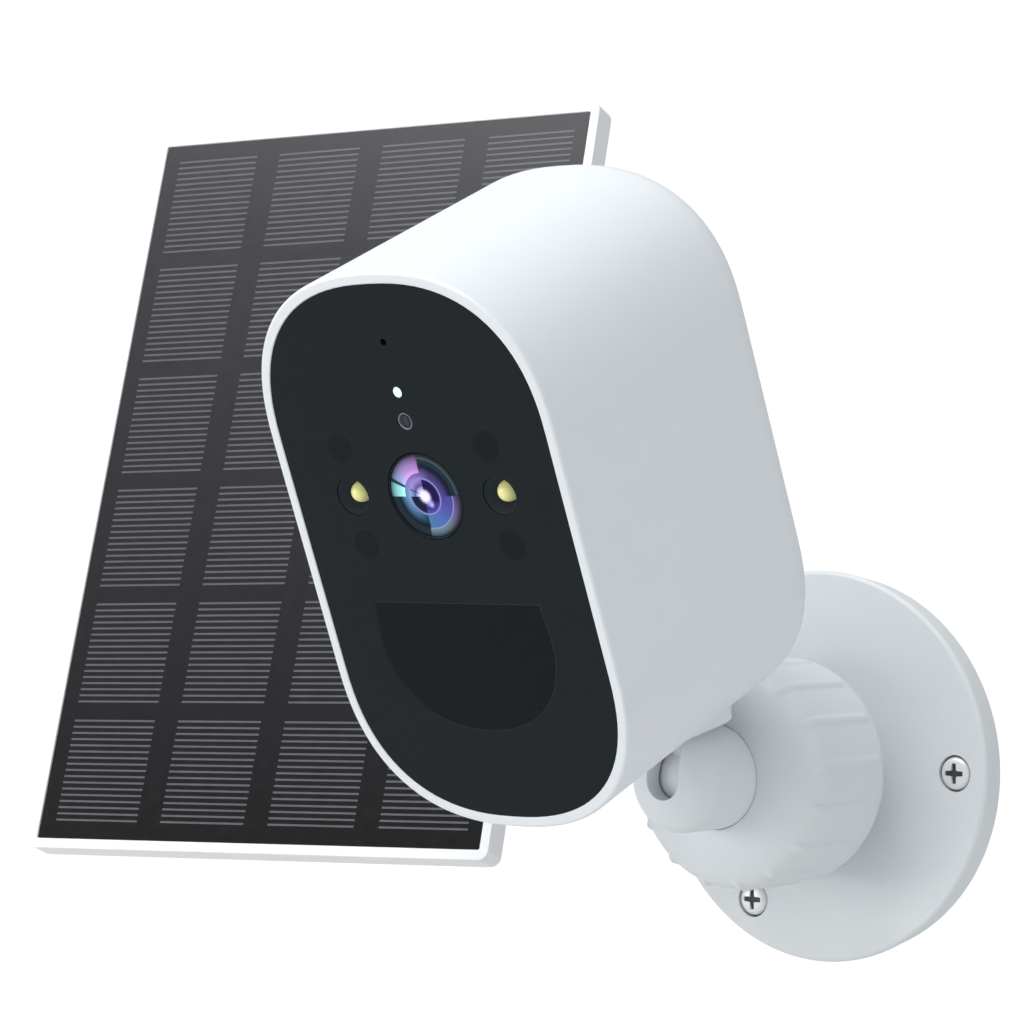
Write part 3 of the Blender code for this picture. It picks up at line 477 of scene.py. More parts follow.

    # The three together, with a thin painted bright line between them.
    inner_edge = made.ramp(around, [(0.0, 0.73), (0.231, 0.78), (0.5, 0.73), (0.75, 0.57)], "CONSTANT")
    past_edge = made.maths("SUBTRACT", out, inner_edge)
    whole = made.mix(made.ranged(out, 0.41, 0.43, 0.0, 1.0), disc, middle)
    ring = made.ramp(out, [
        (0.4, 0.0), (0.425, (0.26, 0.24, 0.62)), (0.445, (0.22, 0.24, 0.52)), (0.47, 0.0),
    ])
    whole = made.mix(1.0, whole, ring, "LIGHTEN")
    whole = made.mix(made.ranged(past_edge, -0.006, 0.006, 0.0, 1.0), whole, outer)
    line = made.ranged(made.maths("ABSOLUTE", past_edge), 0.004, 0.016, 0.8, 0.0)
    line = made.mix(lower_right, (0, 0, 0, 1), made.mix(line, (0, 0, 0, 1), (0.35, 0.48, 0.75, 1)))
    shown = made.mix(1.0, whole, line, "LIGHTEN")
    # The painted pattern also glows a little, though the lens is no lamp.
    made.send(shown, made.shader.inputs["Emission Color"])
    made.shader.inputs["Emission Strength"].default_value = 0.15
    return made.coloured(shown)


def laminate_reflection_finish():
    """Dark laminate under glass, a little warmer, and lighter towards the top from a painted reflection of
    the sky.
    """
    made = Finish("laminate", (0.018, 0.0174, 0.0204), 0.22, mottle=0.05, grain=0.8, grain_depth=0.001,
                  Specular_IOR_Level=0.34)
    _, _, z = made.parts()
    # Painted reflection: the colour is scaled up from the bottom edge to the top edge.
    height = made.ranged(z, -PANEL_HALF_HEIGHT * MM, PANEL_HALF_HEIGHT * MM, 0.08, 2.0)
    return made.coloured(made.times(made.colour, height))


def circuit_finish():
    """Green solder mask with paler tracks and pads."""
    made = Finish("circuit_board", (0.015, 0.13, 0.05), 0.38, grain_depth=0.01)
    tracks = made.texture("Brick", 12.0, Mortar_Size=0.03, Color1=(0.015, 0.12, 0.05, 1),
                          Color2=(0.02, 0.16, 0.06, 1), Mortar=(0.05, 0.3, 0.12, 1))
    return made.coloured(tracks["Color"])


def brushed(name, colour, roughness):
    """Turned metal: fine streaks that run around or along the piece."""
    made = Finish(name, colour, roughness, mottle=0.04, grain=0.3, grain_depth=0.001, Metallic=1.0)
    streaks = made.texture("Wave", 1.2, Distortion=6.0, Detail=3.0)["Fac"]
    made.send(made.ranged(streaks, 0, 1, roughness * 0.8, roughness * 1.3), made.shader.inputs["Roughness"])
    return made.material


WHITE_SHELL = Finish("shell_white", (0.78, 0.805, 0.825), 0.42, 0.008, 0.35, 0.0025).material
WHITE_MOUNT = Finish("mount_white", (0.71, 0.735, 0.75), 0.45, 0.01, 0.4, 0.003).material
WHITE_CASE = Finish("panel_white", (0.83, 0.83, 0.83), 0.45, 0.01, 0.45, 0.003).material
WHITE_RUBBER = Finish("rubber_white", (0.62, 0.64, 0.655), 0.72, 0.03, 0.25, 0.01).material
BLACK_PANEL = black_panel_finish()
DARK_WINDOW = Finish("motion_window", (0.005, 0.008, 0.0098), 0.3, 0.06, 0.6, 0.001,
                     Specular_IOR_Level=0.08).material
WINDOW_EDGE = Finish("window_edge", (0.017, 0.021, 0.023), 0.45, 0.1, 0.3, 0.001,
                     Specular_IOR_Level=0.15).material
BLACK_MATTE = Finish("matte_black", (0.016, 0.017, 0.018), 0.6, 0.12, 0.3, 0.008).material
BLACK_RUBBER = Finish("rubber_black", (0.022, 0.022, 0.022), 0.8, 0.15, 0.25, 0.012).material
# The cups glow faintly grey: a painted sheen, since a cup is no lamp.
CUP_BLACK_PAINTED_SHEEN = Finish("lamp_cup_painted_sheen", (0.006, 0.009, 0.013), 0.6, 0.1, 0.3, 0.002, Specular_IOR_Level=0.12,
                   Emission_Color=(0.016, 0.02, 0.023, 1), Emission_Strength=0.8).material
IR_PURPLE = Finish("infrared_epoxy", (0.02, 0.006, 0.022), 0.1, 0.2, 0.5, 0.001).material
LENS_PAINTED_REFLECTIONS = lens_reflection_finish()
SENSOR_RIM = Finish("sensor_rim", (0.3, 0.31, 0.35), 0.3, 0.06, 0.2, 0.002, Metallic=0.4).material
SENSOR_GLASS = sensor_finish()
LED_YELLOW = Finish("phosphor_yellow", (0.76, 0.74, 0.29), 0.28, 0.05, 0.4, 0.004,
                    Emission_Color=(0.8, 0.78, 0.36, 1), Emission_Strength=0.2).material
STATUS_LIGHT = Finish("status_light_white", (0.72, 0.95, 0.98), 0.2, 0.02, 0.4, 0.001,
                      Emission_Color=(0.8, 1.0, 1.0, 1), Emission_Strength=0.3).material
CIRCUIT_BOARD = circuit_finish()
STEEL = brushed("screw_steel", (0.82, 0.83, 0.84), 0.34)
SCREW_ZINC = Finish("screw_zinc", (0.8, 0.81, 0.82), 0.38, 0.02, 0.3, 0.001, Metallic=0.3).material
# A flat dark colour that stands for the shadow inside a screw's cross.
RECESS_PAINTED_SHADOW = Finish("recess_shadow", (0.035, 0.036, 0.038), 0.6, 0.05, 0.3, 0.001).material
BRASS = brushed("brass_metal", (0.7, 0.52, 0.2), 0.3)
CELL_WRAP = Finish("battery_wrap", (0.03, 0.13, 0.36), 0.32, 0.1, 0.5, 0.004).material
GREY_PLASTIC = Finish("grey_plastic_grain", (0.3, 0.31, 0.32), 0.5, 0.05, 0.35, 0.01).material
LAMINATE_AND_SKY_REFLECTION = laminate_reflection_finish()
FINGER_SILVER = Finish("silver_print", (0.105, 0.105, 0.112), 0.35, 0.1, 0.3, 0.002, Metallic=0.3).material

CAD_FINISH = {
    "white_shell": WHITE_SHELL,
    "white_mount": WHITE_MOUNT,
    "panel_casing": WHITE_CASE,
    "black_front": BLACK_PANEL,
    "dark_window": DARK_WINDOW,
    "black_matte": BLACK_MATTE,
    "infrared_led": IR_PURPLE,
    "black_rubber": BLACK_RUBBER,
    "coated_glass": LENS_PAINTED_REFLECTIONS,
    "yellow_led": LED_YELLOW,
    "status_light": STATUS_LIGHT,
    "circuit_board": CIRCUIT_BOARD,
    "steel": STEEL,
    "brass": BRASS,
    "cell_wrap": CELL_WRAP,
    "solar_cells": LAMINATE_AND_SKY_REFLECTION,
    "grey_plastic": GREY_PLASTIC,
    "white_rubber": WHITE_RUBBER,
}
for subpart in frame["record"]["subparts"]:
    node = frame["nodes"][subpart["node"]]
    node.data.materials.clear()
    node.data.materials.append(CAD_FINISH[subpart["material_slot"]])


# ---- tools for making shapes ----
def soften(points, radius, closed=False, steps=4):
    """The same corners, each rounded off by about this radius."""
    made = []
    count = len(points)
    for i, corner in enumerate(points):
        if not closed and i in (0, count - 1):
            made.append(corner)
            continue
        here = Vector(corner)
        before = Vector(points[i - 1]) - here
        after = Vector(points[(i + 1) % count]) - here
        straight = before.length < 1e-6 or after.length < 1e-6 or before.angle(after) > radians(165)
        reach = min(radius, before.length * 0.45, after.length * 0.45)
        if straight or reach < 0.02:
            made.append(corner)
            continue
        start, end = here + before.normalized() * reach, here + after.normalized() * reach
        for k in range(steps + 1):
            t = k / steps
            made.append(tuple((1 - t) ** 2 * start + 2 * t * (1 - t) * here + t ** 2 * end))
    return made


def arc(centre_r, centre_h, radius_r, radius_h, start, end, steps):
    """Profile points along an ellipse between two angles in degrees."""
    turns = [radians(start + (end - start) * i / steps) for i in range(steps + 1)]
    return [(centre_r + radius_r * cos(a), centre_h + radius_h * sin(a)) for a in turns]


def smooth(mesh, angle=32):
    """Smooth shading, except where faces meet at more than this many degrees."""
    mesh.shade_smooth()
    mesh.set_sharp_from_angle(angle=radians(angle))


def add_object(name, data):
    obj = bpy.data.objects.new(name, data)
    bpy.context.scene.collection.objects.link(obj)
    return obj


def put(name, work, place, finish):
    """Makes an object from a bmesh in millimetres, set in the given frame."""
    bmesh.ops.remove_doubles(work, verts=work.verts[:], dist=0.0005)
    bmesh.ops.recalc_face_normals(work, faces=work.faces[:])
    bmesh.ops.scale(work, vec=(MM, MM, MM), verts=work.verts[:])
    mesh = bpy.data.meshes.new(name)
    work.to_mesh(mesh)
    work.free()
    obj = add_object(name, mesh)
    obj.matrix_world = place
    if finish:
        mesh.materials.append(finish)
    smooth(mesh)
    return obj


def show(obj, body, slot, *nodes):
    """The finished piece rides on its body and stands for these CAD nodes."""
    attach(obj, body)
    if nodes:
        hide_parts(*nodes)
    return obj


def cylinder(radius, top, bottom):
    """The profile of a plain round bar."""
    return [(0, top), (radius, top), (radius, bottom), (0, bottom)]


def lathe(name, profile, place, finish, sides=ROUND, reach=None):
    """A turned piece. reach(angle, radius, height) may push the surface in or out around it."""
    work = bmesh.new()
    rings = []
    for radius, height in profile:
        if radius < 1e-6:
            rings.append([work.verts.new((0, 0, height))])
            continue
        ring = []
        for i in range(sides):
            angle = 2 * pi * i / sides
            out = radius + (reach(angle, radius, height) if reach else 0.0)
            ring.append(work.verts.new((out * cos(angle), out * sin(angle), height)))
        rings.append(ring)
    pairs = list(zip(rings, rings[1:]))
    if profile[0][0] > 1e-6:
        pairs.append((rings[-1], rings[0]))
    for above, below in pairs:
        for i in range(sides):
            j = (i + 1) % sides
            corners = (above[i % len(above)], below[i % len(below)],
                       below[j % len(below)], above[j % len(above)])
            work.faces.new(list(dict.fromkeys(corners)))
    return put(name, work, place, finish)


def bore(place, radius, top=THROUGH, bottom=-THROUGH, sides=SMALL_ROUND):
    """A tool that cuts a round hole."""
    return lathe("bore", cylinder(radius, top, bottom), place, None, sides)


def turned(node, profile, place, finish, body, slot, sides=ROUND, reach=None):
    """A turned piece that needs no carving, and stands for its node."""
    return show(lathe(node + "_visual", profile, place, finish, sides, reach), body, slot, node)


def flat_faces(obj):
    """Keeps flat faces evenly shaded beside rounded edges."""
    obj.modifiers.new("flat_faces", "WEIGHTED_NORMAL").keep_sharp = True
    return obj


def slab(name, outlines, front, back, place, finish, bevel=0.15):
    """A flat piece in the XZ plane between two depths, its edges rounded. Later outlines are holes."""
    curve = bpy.data.curves.new(name, "CURVE")
    curve.dimensions = "2D"
    curve.fill_mode = "BOTH"
    curve.bevel_depth = bevel
    curve.bevel_resolution = 3
    curve.offset = -bevel
    curve.extrude = (back - front) / 2 - bevel
    for outline in outlines:
        spline = curve.splines.new("POLY")
        spline.points.add(len(outline) - 1)
        for point, (across, up) in zip(spline.points, outline):
            point.co = (across, up, 0.0, 1.0)
        spline.use_cyclic_u = True
    guide = add_object(name + "_guide", curve)
    bpy.context.view_layer.update()
    mesh = bpy.data.meshes.new_from_object(guide.evaluated_get(bpy.context.evaluated_depsgraph_get()))
    bpy.data.objects.remove(guide)
    work = bmesh.new()
    work.from_mesh(mesh)
    bmesh.ops.rotate(work, cent=(0, 0, 0), matrix=Matrix.Rotation(pi / 2, 3, "X"), verts=work.verts[:])
    bmesh.ops.translate(work, vec=(0, (front + back) / 2, 0), verts=work.verts[:])
    return flat_faces(put(name, work, place, finish))


def block(name, low, high, place, finish, bevel=0.6):
    """A moulded block between two corners with rounded edges."""
    low, high = Vector(low), Vector(high)
    work = bmesh.new()
    bmesh.ops.create_cube(work, size=1.0)
    bmesh.ops.scale(work, vec=high - low, verts=work.verts[:])
    bmesh.ops.translate(work, vec=(low + high) / 2, verts=work.verts[:])
    if bevel:
        bmesh.ops.bevel(work, geom=work.edges[:], offset=bevel, segments=4, profile=0.5, affect="EDGES")
    return flat_faces(put(name, work, place, finish))


def settle(obj):
    """Applies a piece's modifiers."""
    bpy.context.view_layer.update()
    graph = bpy.context.evaluated_depsgraph_get()
    mesh = bpy.data.meshes.new_from_object(obj.evaluated_get(graph))
    obj.modifiers.clear()
    obj.data = mesh
    smooth(mesh)


def shape(target, operation, tools):
    """Joins or carves the target with the tools, which are used up."""
    for tool in tools:
        step = target.modifiers.new(tool.name, "BOOLEAN")
        step.operation = operation
        step.solver = "EXACT"
        step.object = tool
    settle(target)
    for tool in tools:
        bpy.data.objects.remove(tool)
    return target


def carve(target, *tools):
    return shape(target, "DIFFERENCE", tools)


def join(target, *tools):
    return shape(target, "UNION", tools)


def soft_edges(obj, width=0.2, angle=40):
    """Rounds the edges that joining and carving leave."""
    step = obj.modifiers.new("soft_edges", "BEVEL")
    step.width = width * MM
    step.segments = 2
    step.limit_method = "ANGLE"
    step.angle_limit = radians(angle)
    return flat_faces(obj)


def circle(radius, across=0.0, up=0.0, sides=SMALL_ROUND):
    turns = [2 * pi * i / sides for i in range(sides)]
    return [(across + radius * cos(a), up + radius * sin(a)) for a in turns]


def rounded_box(half_width, half_height, radius, steps=6, up=0.0):
    points = []
    for corner, (right, top) in enumerate(((1, 1), (-1, 1), (-1, -1), (1, -1))):
        for i in range(steps + 1):
            angle = pi / 2 * (corner + i / steps)
            across = right * (half_width - radius) + radius * cos(angle)
            points.append((across, up + top * (half_height - radius) + radius * sin(angle)))
    return points


def half_oval(half_width, height, curve, steps=48):
    """The top half of a squarish oval, from its right end to its left. curve 2 is an ellipse."""
    points = []
    for i in range(steps + 1):
        angle = pi * i / steps
        right = cos(angle)
        across = half_width * copysign(abs(right) ** (2 / curve), right)
        points.append((across, height * max(sin(angle), 0.0) ** (2 / curve)))
    return points


def body_outline(inset):
    """The camera's outline: straight sides and two rounded ends."""
    straight = BODY_HALF_HEIGHT - BODY_END_HEIGHT
    top = half_oval(BODY_HALF_WIDTH - inset, BODY_END_HEIGHT - inset, BODY_CURVE)
    points = []
    for sign in (1, -1):
        points += [(sign * across, sign * (straight + up)) for across, up in top]
    return points


def pir_outline(grow=0.0):
    """The motion window: flat on top, a deep rounded bottom."""
    right, top = PIR_TOP_HALF_WIDTH + grow, PIR_TOP + grow
    bottom = half_oval(PIR_HALF_WIDTH + grow, PIR_WIDEST - PIR_BOTTOM + grow, PIR_CURVE)
    return [(right, top), (-right, top)] + [(-across, PIR_WIDEST - down) for across, down in bottom]


def ear_outline(radius, reach, steps=24):
    """A round end about the origin with straight sides that go to this height."""
    side = copysign(1.0, reach)
    turns = [pi * i / steps for i in range(steps + 1)]
    points = [(radius * cos(a), -side * radius * sin(a)) for a in turns]
    return points + [(-radius, reach), (radius, reach)]


# ---- ball mount ----
def screw_cutter(spot, plate_front):
    """The seat and the hole for one wall screw."""
    seat = plate_front - SCREW_SEAT_DEPTH
    seat_radius = SCREW_HEAD_RADIUS + GAP
    hole = SCREW_SHANK_RADIUS + GAP
    profile = [(0, plate_front + 1), (seat_radius, plate_front + 1), (seat_radius, seat), (hole, seat)]
    profile += [(hole, -1), (0, -1)]
    return lathe("screw_cutter", profile, spot @ TO_FRONT, None, SMALL_ROUND)


def cross(name, spot, front, back, shrink, finish):
    """A slab in the shape of the driven cross, this much smaller than the recess."""
    arm, half = CROSS_LENGTH / 2 - shrink, CROSS_WIDTH / 2 - shrink
    quarter = [(arm, -0.8 * half), (arm, 0.8 * half), (half, half)]
    outline = []
    for _ in range(4):
        outline += quarter
        quarter = [(-up, across) for across, up in quarter]
    return slab(name, [outline], front, back, spot, finish, 0.02)


def make_screw(name, spot, plate_front):
    """A pan-head screw with a driven cross. Its shaft ends just above the wall."""
    top = plate_front + SCREW_HEAD_RISE
    seat = plate_front - SCREW_SEAT_DEPTH + GAP
    shaft_end = 0.2
    crown = ((0, 0), (1.6, 0.03), (2.45, 0.22), (2.9, 0.62), (SCREW_HEAD_RADIUS, 1.1))
    profile = [(radius, top - drop) for radius, drop in crown]
    profile += [(SCREW_HEAD_RADIUS, seat), (SCREW_SHANK_RADIUS, seat), (SCREW_SHANK_RADIUS, shaft_end)]
    profile += [(0, shaft_end)]
    screw = lathe(name + "_visual", soften(profile, 0.25), spot @ TO_FRONT, SCREW_ZINC, SMALL_ROUND)
    carve(screw, cross("cross_cutter", spot, -top - 1.0, CROSS_DEPTH - top, 0.0, None))
    show(screw, "wall_group", "steel", name)
    # A dark cross at the floor of the recess: painted shadow in the driven cross.
    shade = cross(name + "_recess", spot, 0.45 - top, CROSS_DEPTH - top - 0.02, 0.02, RECESS_PAINTED_SHADOW)
    show(shade, "wall_group", "steel")


def drill_for_screws(plate_piece, spots, plate_front):
    carve(plate_piece, *[screw_cutter(spot, plate_front) for spot in spots])


def screw_spots(origin, radius, first=0.0):
    spots = []
    for index in range(3):
        angle = first + 2 * pi * index / 3
        spots.append(origin @ shift(radius * cos(angle), 0, radius * sin(angle)))
    return spots


def make_wall_plate():
    front = PLATE_THICK
    floor = front + 1.0
    post_end = front + POST_LENGTH
    chamfer = 0.8
    edge = PLATE_EDGE_RADIUS
    profile = [(0, floor), (POST_BORE, floor), (POST_BORE, post_end), (POST_RADIUS - chamfer, post_end)]
    profile += [(POST_RADIUS, post_end - chamfer), (POST_RADIUS, front)]
    profile += arc(PLATE_RADIUS - edge, front - edge, edge, edge, 90, 0, 10)
    profile += [(PLATE_BACK_RADIUS, 0.2), (PLATE_BACK_RADIUS - 0.2, 0), (0, 0)]
    piece = lathe("wall_plate_visual", profile, TO_FRONT, WHITE_MOUNT, 160)
    spots = screw_spots(UP, SCREW_CIRCLE)
    drill_for_screws(piece, spots, front)
    show(piece, "wall_group", "white_mount", "wall_plate")
    for index, spot in enumerate(spots):
        make_screw(f"wall_screw_{index + 1}", spot, front)


def fade(distance, length):
    """Rises from 0 to 1 over this length, and stays level beyond."""
    return min(1.0, max(0.0, distance / length))


def rib(angle, radius, height):
    """How far a collar rib stands out here: narrow, full from the shoulder, ending before the back."""
    if radius < COLLAR_RADIUS - RIB_PAST_SHOULDER:
        return 0.0
    pitch = 2 * pi / COLLAR_RIBS
    off = abs((angle / pitch - COLLAR_FIRST_RIB + 0.5) % 1.0 - 0.5) * pitch * COLLAR_RADIUS
    across = max(0.0, 1.0 - (off / RIB_HALF_WIDTH) ** 2)
    back = PLATE_THICK + COLLAR_BACK + RIB_FROM_BACK
    front = PLATE_THICK + COLLAR_SHOULDER + RIB_PAST_SHOULDER
    along = fade(height - back, RIB_BACK_FADE) * fade(front - height, RIB_FRONT_FADE)
    return (RIB_HEIGHT + RIB_RISE * (COLLAR_RADIUS - radius)) * across * along


def make_collar():
    """The ribbed clamping ring."""
    base = PLATE_THICK
    inner = POST_RADIUS + GAP
    dome_width = COLLAR_RADIUS - COLLAR_OPENING
    dome_height = COLLAR_FRONT - COLLAR_SHOULDER
    profile = arc(COLLAR_OPENING, base + COLLAR_SHOULDER, dome_width, dome_height, 90, 0, 24)
    steps = 16
    below_shoulder = 2.4
    for i in range(1, steps + 1):
        profile.append((COLLAR_RADIUS, base + COLLAR_SHOULDER - below_shoulder * i / steps))
    rib_end = [RIB_FROM_BACK + RIB_BACK_FADE * k / 4 for k in range(5, -1, -1)]
    back = base + COLLAR_BACK
    profile += [(COLLAR_RADIUS, back + height) for height in (6.0, 3.0, *rib_end, 0.5)]
    profile += [(COLLAR_RADIUS - 0.15, back + 0.15), (COLLAR_RADIUS - 0.5, back), (inner, back)]
    profile += [(inner, base + COLLAR_CONE_BACK)]
    profile += [(COLLAR_OPENING, base + COLLAR_CONE_FRONT)]
    turned("lock_collar", profile, TO_FRONT, WHITE_MOUNT, "collar", "white_mount", COLLAR_RIBS * 24, rib)


def make_socket():
    """The drum that holds the ball, with the slot for its neck."""
    hollow = BALL_RADIUS + GAP
    front = DRUM_FRONT - BALL_FROM_PLATE
    back = POST_LENGTH + 0.4 - BALL_FROM_PLATE
    cone_front = COLLAR_CONE_FRONT - 0.2 - BALL_FROM_PLATE
    cone_back = COLLAR_CONE_BACK + 0.25 - BALL_FROM_PLATE
    shoulder = DRUM_SHOULDER - BALL_FROM_PLATE
    profile = arc(0, shoulder, DRUM_RADIUS, front - shoulder, 90, 0, 32)
    profile += [(DRUM_RADIUS, cone_front), (FLANGE_RADIUS, cone_back), (FLANGE_RADIUS, back), (hollow, back)]
    profile += arc(0, 0, hollow, hollow, 0, 90, 20)
    socket = lathe("swivel_socket_visual", profile, BALL @ TO_FRONT, WHITE_MOUNT, ROUND)
    reach = DRUM_RADIUS + 4.0
    round_end = bore(BALL @ TO_FRONT, SLOT_HALF_WIDTH, reach, 3.5, 64)
    low = (-SLOT_HALF_WIDTH, -reach, 0)
    high = (SLOT_HALF_WIDTH, SLOT_BACK, reach)
    carve(socket, round_end, block("slot_side", low, high, BALL, None, 0))
    soft_edges(socket, 0.35)
    show(socket, "socket", "white_mount", "swivel_socket")


def make_neck():
    top = NUT_LOW - GAP - 0.05
    meets = degrees(acos(NECK_RADIUS / BALL_RADIUS))
    outside = soften([(0, top), (NECK_RADIUS, top), (NECK_RADIUS, top - 1.8)], 0.3)
    outside += arc(0, 0, BALL_RADIUS, BALL_RADIUS, meets, -90, 24)
    ball = lathe("ball_neck_visual", outside, TILT, WHITE_MOUNT, 64)
    carve(ball, bore(TILT, STUD_ROOT_RADIUS + GAP, top + 1, 4.0))
    show(ball, "neck", "white_mount", "ball_neck")
    low = NUT_LOW
    high = NECK_LENGTH - 0.35
    body = [(0, high), (NUT_RADIUS, high), (NUT_RADIUS, low + 0.9), (NUT_RADIUS - 1.2, low), (0, low)]
    nut = lathe("lock_nut_visual", body, TILT @ turn(NUT_TURN, "Z"), WHITE_MOUNT, 6)
    carve(nut, bore(TILT, STUD_RADIUS + 0.35, high + 1, low - 1))
    show(soft_edges(nut, 0.3, 25), "nut", "white_mount", "lock_nut")


# ---- camera body ----
def body_rings(rings, name, place, finish):
    """A closed skin through (depth, inset) rings of the body outline; both ends are capped."""
    work = bmesh.new()
    loops = []
    for depth, inset in rings:
        loops.append([work.verts.new((x, depth, z)) for x, z in body_outline(inset)])
    for near, far in zip(loops, loops[1:]):
        for i in range(len(near)):
            j = (i + 1) % len(near)
            work.faces.new((near[i], near[j], far[j], far[i]))
    work.faces.new(loops[0])
    work.faces.new(loops[-1])
    return put(name, work, place, finish)


def rear_round(radius, depth, inset, steps):
    """The (depth, inset) rings round the body's rear edge."""
    turns = [pi / 2 * i / steps for i in range(steps + 1)]
    return [(depth - radius * (1 - sin(a)), inset + radius * (1 - cos(a))) for a in turns]


def make_shell():
    """The moulded shell: a soft front rim, and a large radius round the back."""
    rim = 0.55
    lip = 0.15
    opening = RIM_WIDTH - 0.03
    inside = rear_round(BODY_REAR_RADIUS - SHELL_WALL, BODY_DEPTH - SHELL_WALL, SHELL_WALL, 8)
    rings = inside[::-1] + [(depth, SHELL_WALL) for depth in (30.0, 8.0, 2.6)]
    rings += [(2.5, opening), (lip, opening), (0.0, opening - lip)]
    turns = [pi / 2 * k / 6 for k in range(6, -1, -1)]
    rings += [(rim * (1 - sin(a)), rim * (1 - cos(a))) for a in turns]
    rings += [(depth, 0.0) for depth in (12, 24, 36)]
    rings += rear_round(BODY_REAR_RADIUS, BODY_DEPTH, 0.0, 14)
    shell = body_rings(rings, "outer_shell_visual", FACE, WHITE_SHELL)
    under = FACE @ shift(0, NECK_FROM_FRONT, -BODY_HALF_HEIGHT)
    tools = [bore(under, INSERT_HOLE_RADIUS, 6, -6, 64)]
    low = (-SLIT_HALF_LENGTH, -SLIT_HALF_WIDTH, -5)
    high = (SLIT_HALF_LENGTH, SLIT_HALF_WIDTH, 5)
    for step in (-1, 0, 1):
        spot = FACE @ shift(0, SPEAKER_DEPTH + SLIT_STEP * step, -BODY_HALF_HEIGHT)
        tools.append(block("speaker_slit", low, high, spot, None, 0))
    tools.append(bore(on_body(0, BUTTON_HEIGHT, BODY_DEPTH), BUTTON_RADIUS + GAP, 4, -4, 64))
    low = (-PORT_HALF_WIDTH, -4, -PORT_HALF_HEIGHT)
    high = (PORT_HALF_WIDTH, 4, PORT_HALF_HEIGHT)
    spot = FACE @ shift(PORT_X, BODY_DEPTH, PORT_HEIGHT)
    tools.append(block("port_hole", low, high, spot, None, 0))
    tools.append(bore(on_body(RESET_X, PORT_HEIGHT, BODY_DEPTH), RESET_HOLE_RADIUS, 4, -4))
    show(flat_faces(carve(shell, *tools)), "camera", "white_shell", "outer_shell")


def make_front_panel():
    outlines = [
        body_outline(RIM_WIDTH),
        circle(LENS_RADIUS + 0.15, 0, LENS_HEIGHT, ROUND),
        circle(STATUS_RADIUS + 0.06, 0, STATUS_HEIGHT),
        circle(LIGHT_SENSOR_HOLE, 0, LIGHT_SENSOR_HEIGHT),
        circle(MICROPHONE_RADIUS, 0, MICROPHONE_HEIGHT, 24),
        circle(CUP_RADIUS, -LAMP_X, LENS_HEIGHT, 64),
        circle(CUP_RADIUS, LAMP_X, LENS_HEIGHT, 64),
        pir_outline(0.1),
    ]
    panel = slab("front_panel_visual", outlines, 0.1, 2.2, FACE, BLACK_PANEL, 0.06)
    show(panel, "camera", "black_front", "front_panel")
    window = slab("pir_window_visual", [pir_outline(-0.16)], 0.15, 1.6, FACE, DARK_WINDOW, 0.03)
    show(window, "camera", "dark_window", "pir_window")
    lip = slab("pir_lip", [pir_outline(0.08), pir_outline(-0.14)], 0.16, 1.5, FACE, WINDOW_EDGE, 0.03)
    show(lip, "camera", "black_front")


def make_lens():
    back = -2.6
    ring = [(GLASS_RADIUS, -0.2), (LENS_RADIUS, -0.12), (LENS_RADIUS, back), (6.6, back), (6.6, -2.0)]
    ring += [(GLASS_RADIUS, -2.0)]
    turned("lens_ring", ring, on_body(0, LENS_HEIGHT), BLACK_PANEL, "camera", "black_matte")
    radius = GLASS_RADIUS - 0.04
    dome = arc(0, -0.32, radius, 0.24, 90, 0, 20) + [(radius, -1.9), (0, -1.9)]
    glass = lathe("lens_glass_visual", dome, FACE @ shift(0, 0, LENS_HEIGHT), None, ROUND)
    glass.data.transform(TO_FRONT)        # the painted reflection pattern is drawn on the XZ face
    glass.data.materials.append(LENS_PAINTED_REFLECTIONS)
    show(glass, "camera", "coated_glass", "lens_glass")


def make_lamps():
    base = -4.6
    for side, word in ((-1, "left"), (1, "right")):
        spot = on_body(side * LAMP_X, LENS_HEIGHT)
        cup = [(CUP_RADIUS - 0.12, -0.22), (CUP_RADIUS - 0.03, -0.4), (CUP_RADIUS - 0.03, base)]
        cup += [(LED_RADIUS + 0.08, base), (LED_RADIUS + 0.08, -3.4)]
        turned(f"lamp_cup_{word}", cup, spot, CUP_BLACK_PAINTED_SHEEN, "camera", "black_front", 64)
        dome = arc(0, -2.7, LED_RADIUS, 2.1, 90, 0, 14) + [(LED_RADIUS, -5.3), (0, -5.3)]
        turned(f"white_led_{word}", dome, spot, LED_YELLOW, "camera", "yellow_led", 48)


def make_small_front_pieces():
    back = -5.3
    pipe = arc(0, -0.3, STATUS_RADIUS, 0.12, 90, 0, 6) + [(STATUS_RADIUS, back), (0, back)]
    piece = lathe("status_light_visual", pipe, on_body(0, STATUS_HEIGHT), STATUS_LIGHT)
    show(piece, "camera", "status_light", "status_light_pipe")
    spot = on_body(0, LIGHT_SENSOR_HEIGHT)
    glass = [(0, -0.45), (0.45, -0.47), (0.9, -0.52), (LIGHT_SENSOR_RADIUS - 0.03, -0.58)]
    glass += [(LIGHT_SENSOR_RADIUS, back), (0, back)]
    turned("light_sensor", glass, spot, SENSOR_GLASS, "camera", "black_front", 48)
    rim = soften([(1.27, -0.22), (1.43, -0.22), (1.43, -1.6), (1.27, -1.6)], 0.04, True)
    show(lathe("light_sensor_rim", rim, spot, SENSOR_RIM, 48), "camera", "black_front")


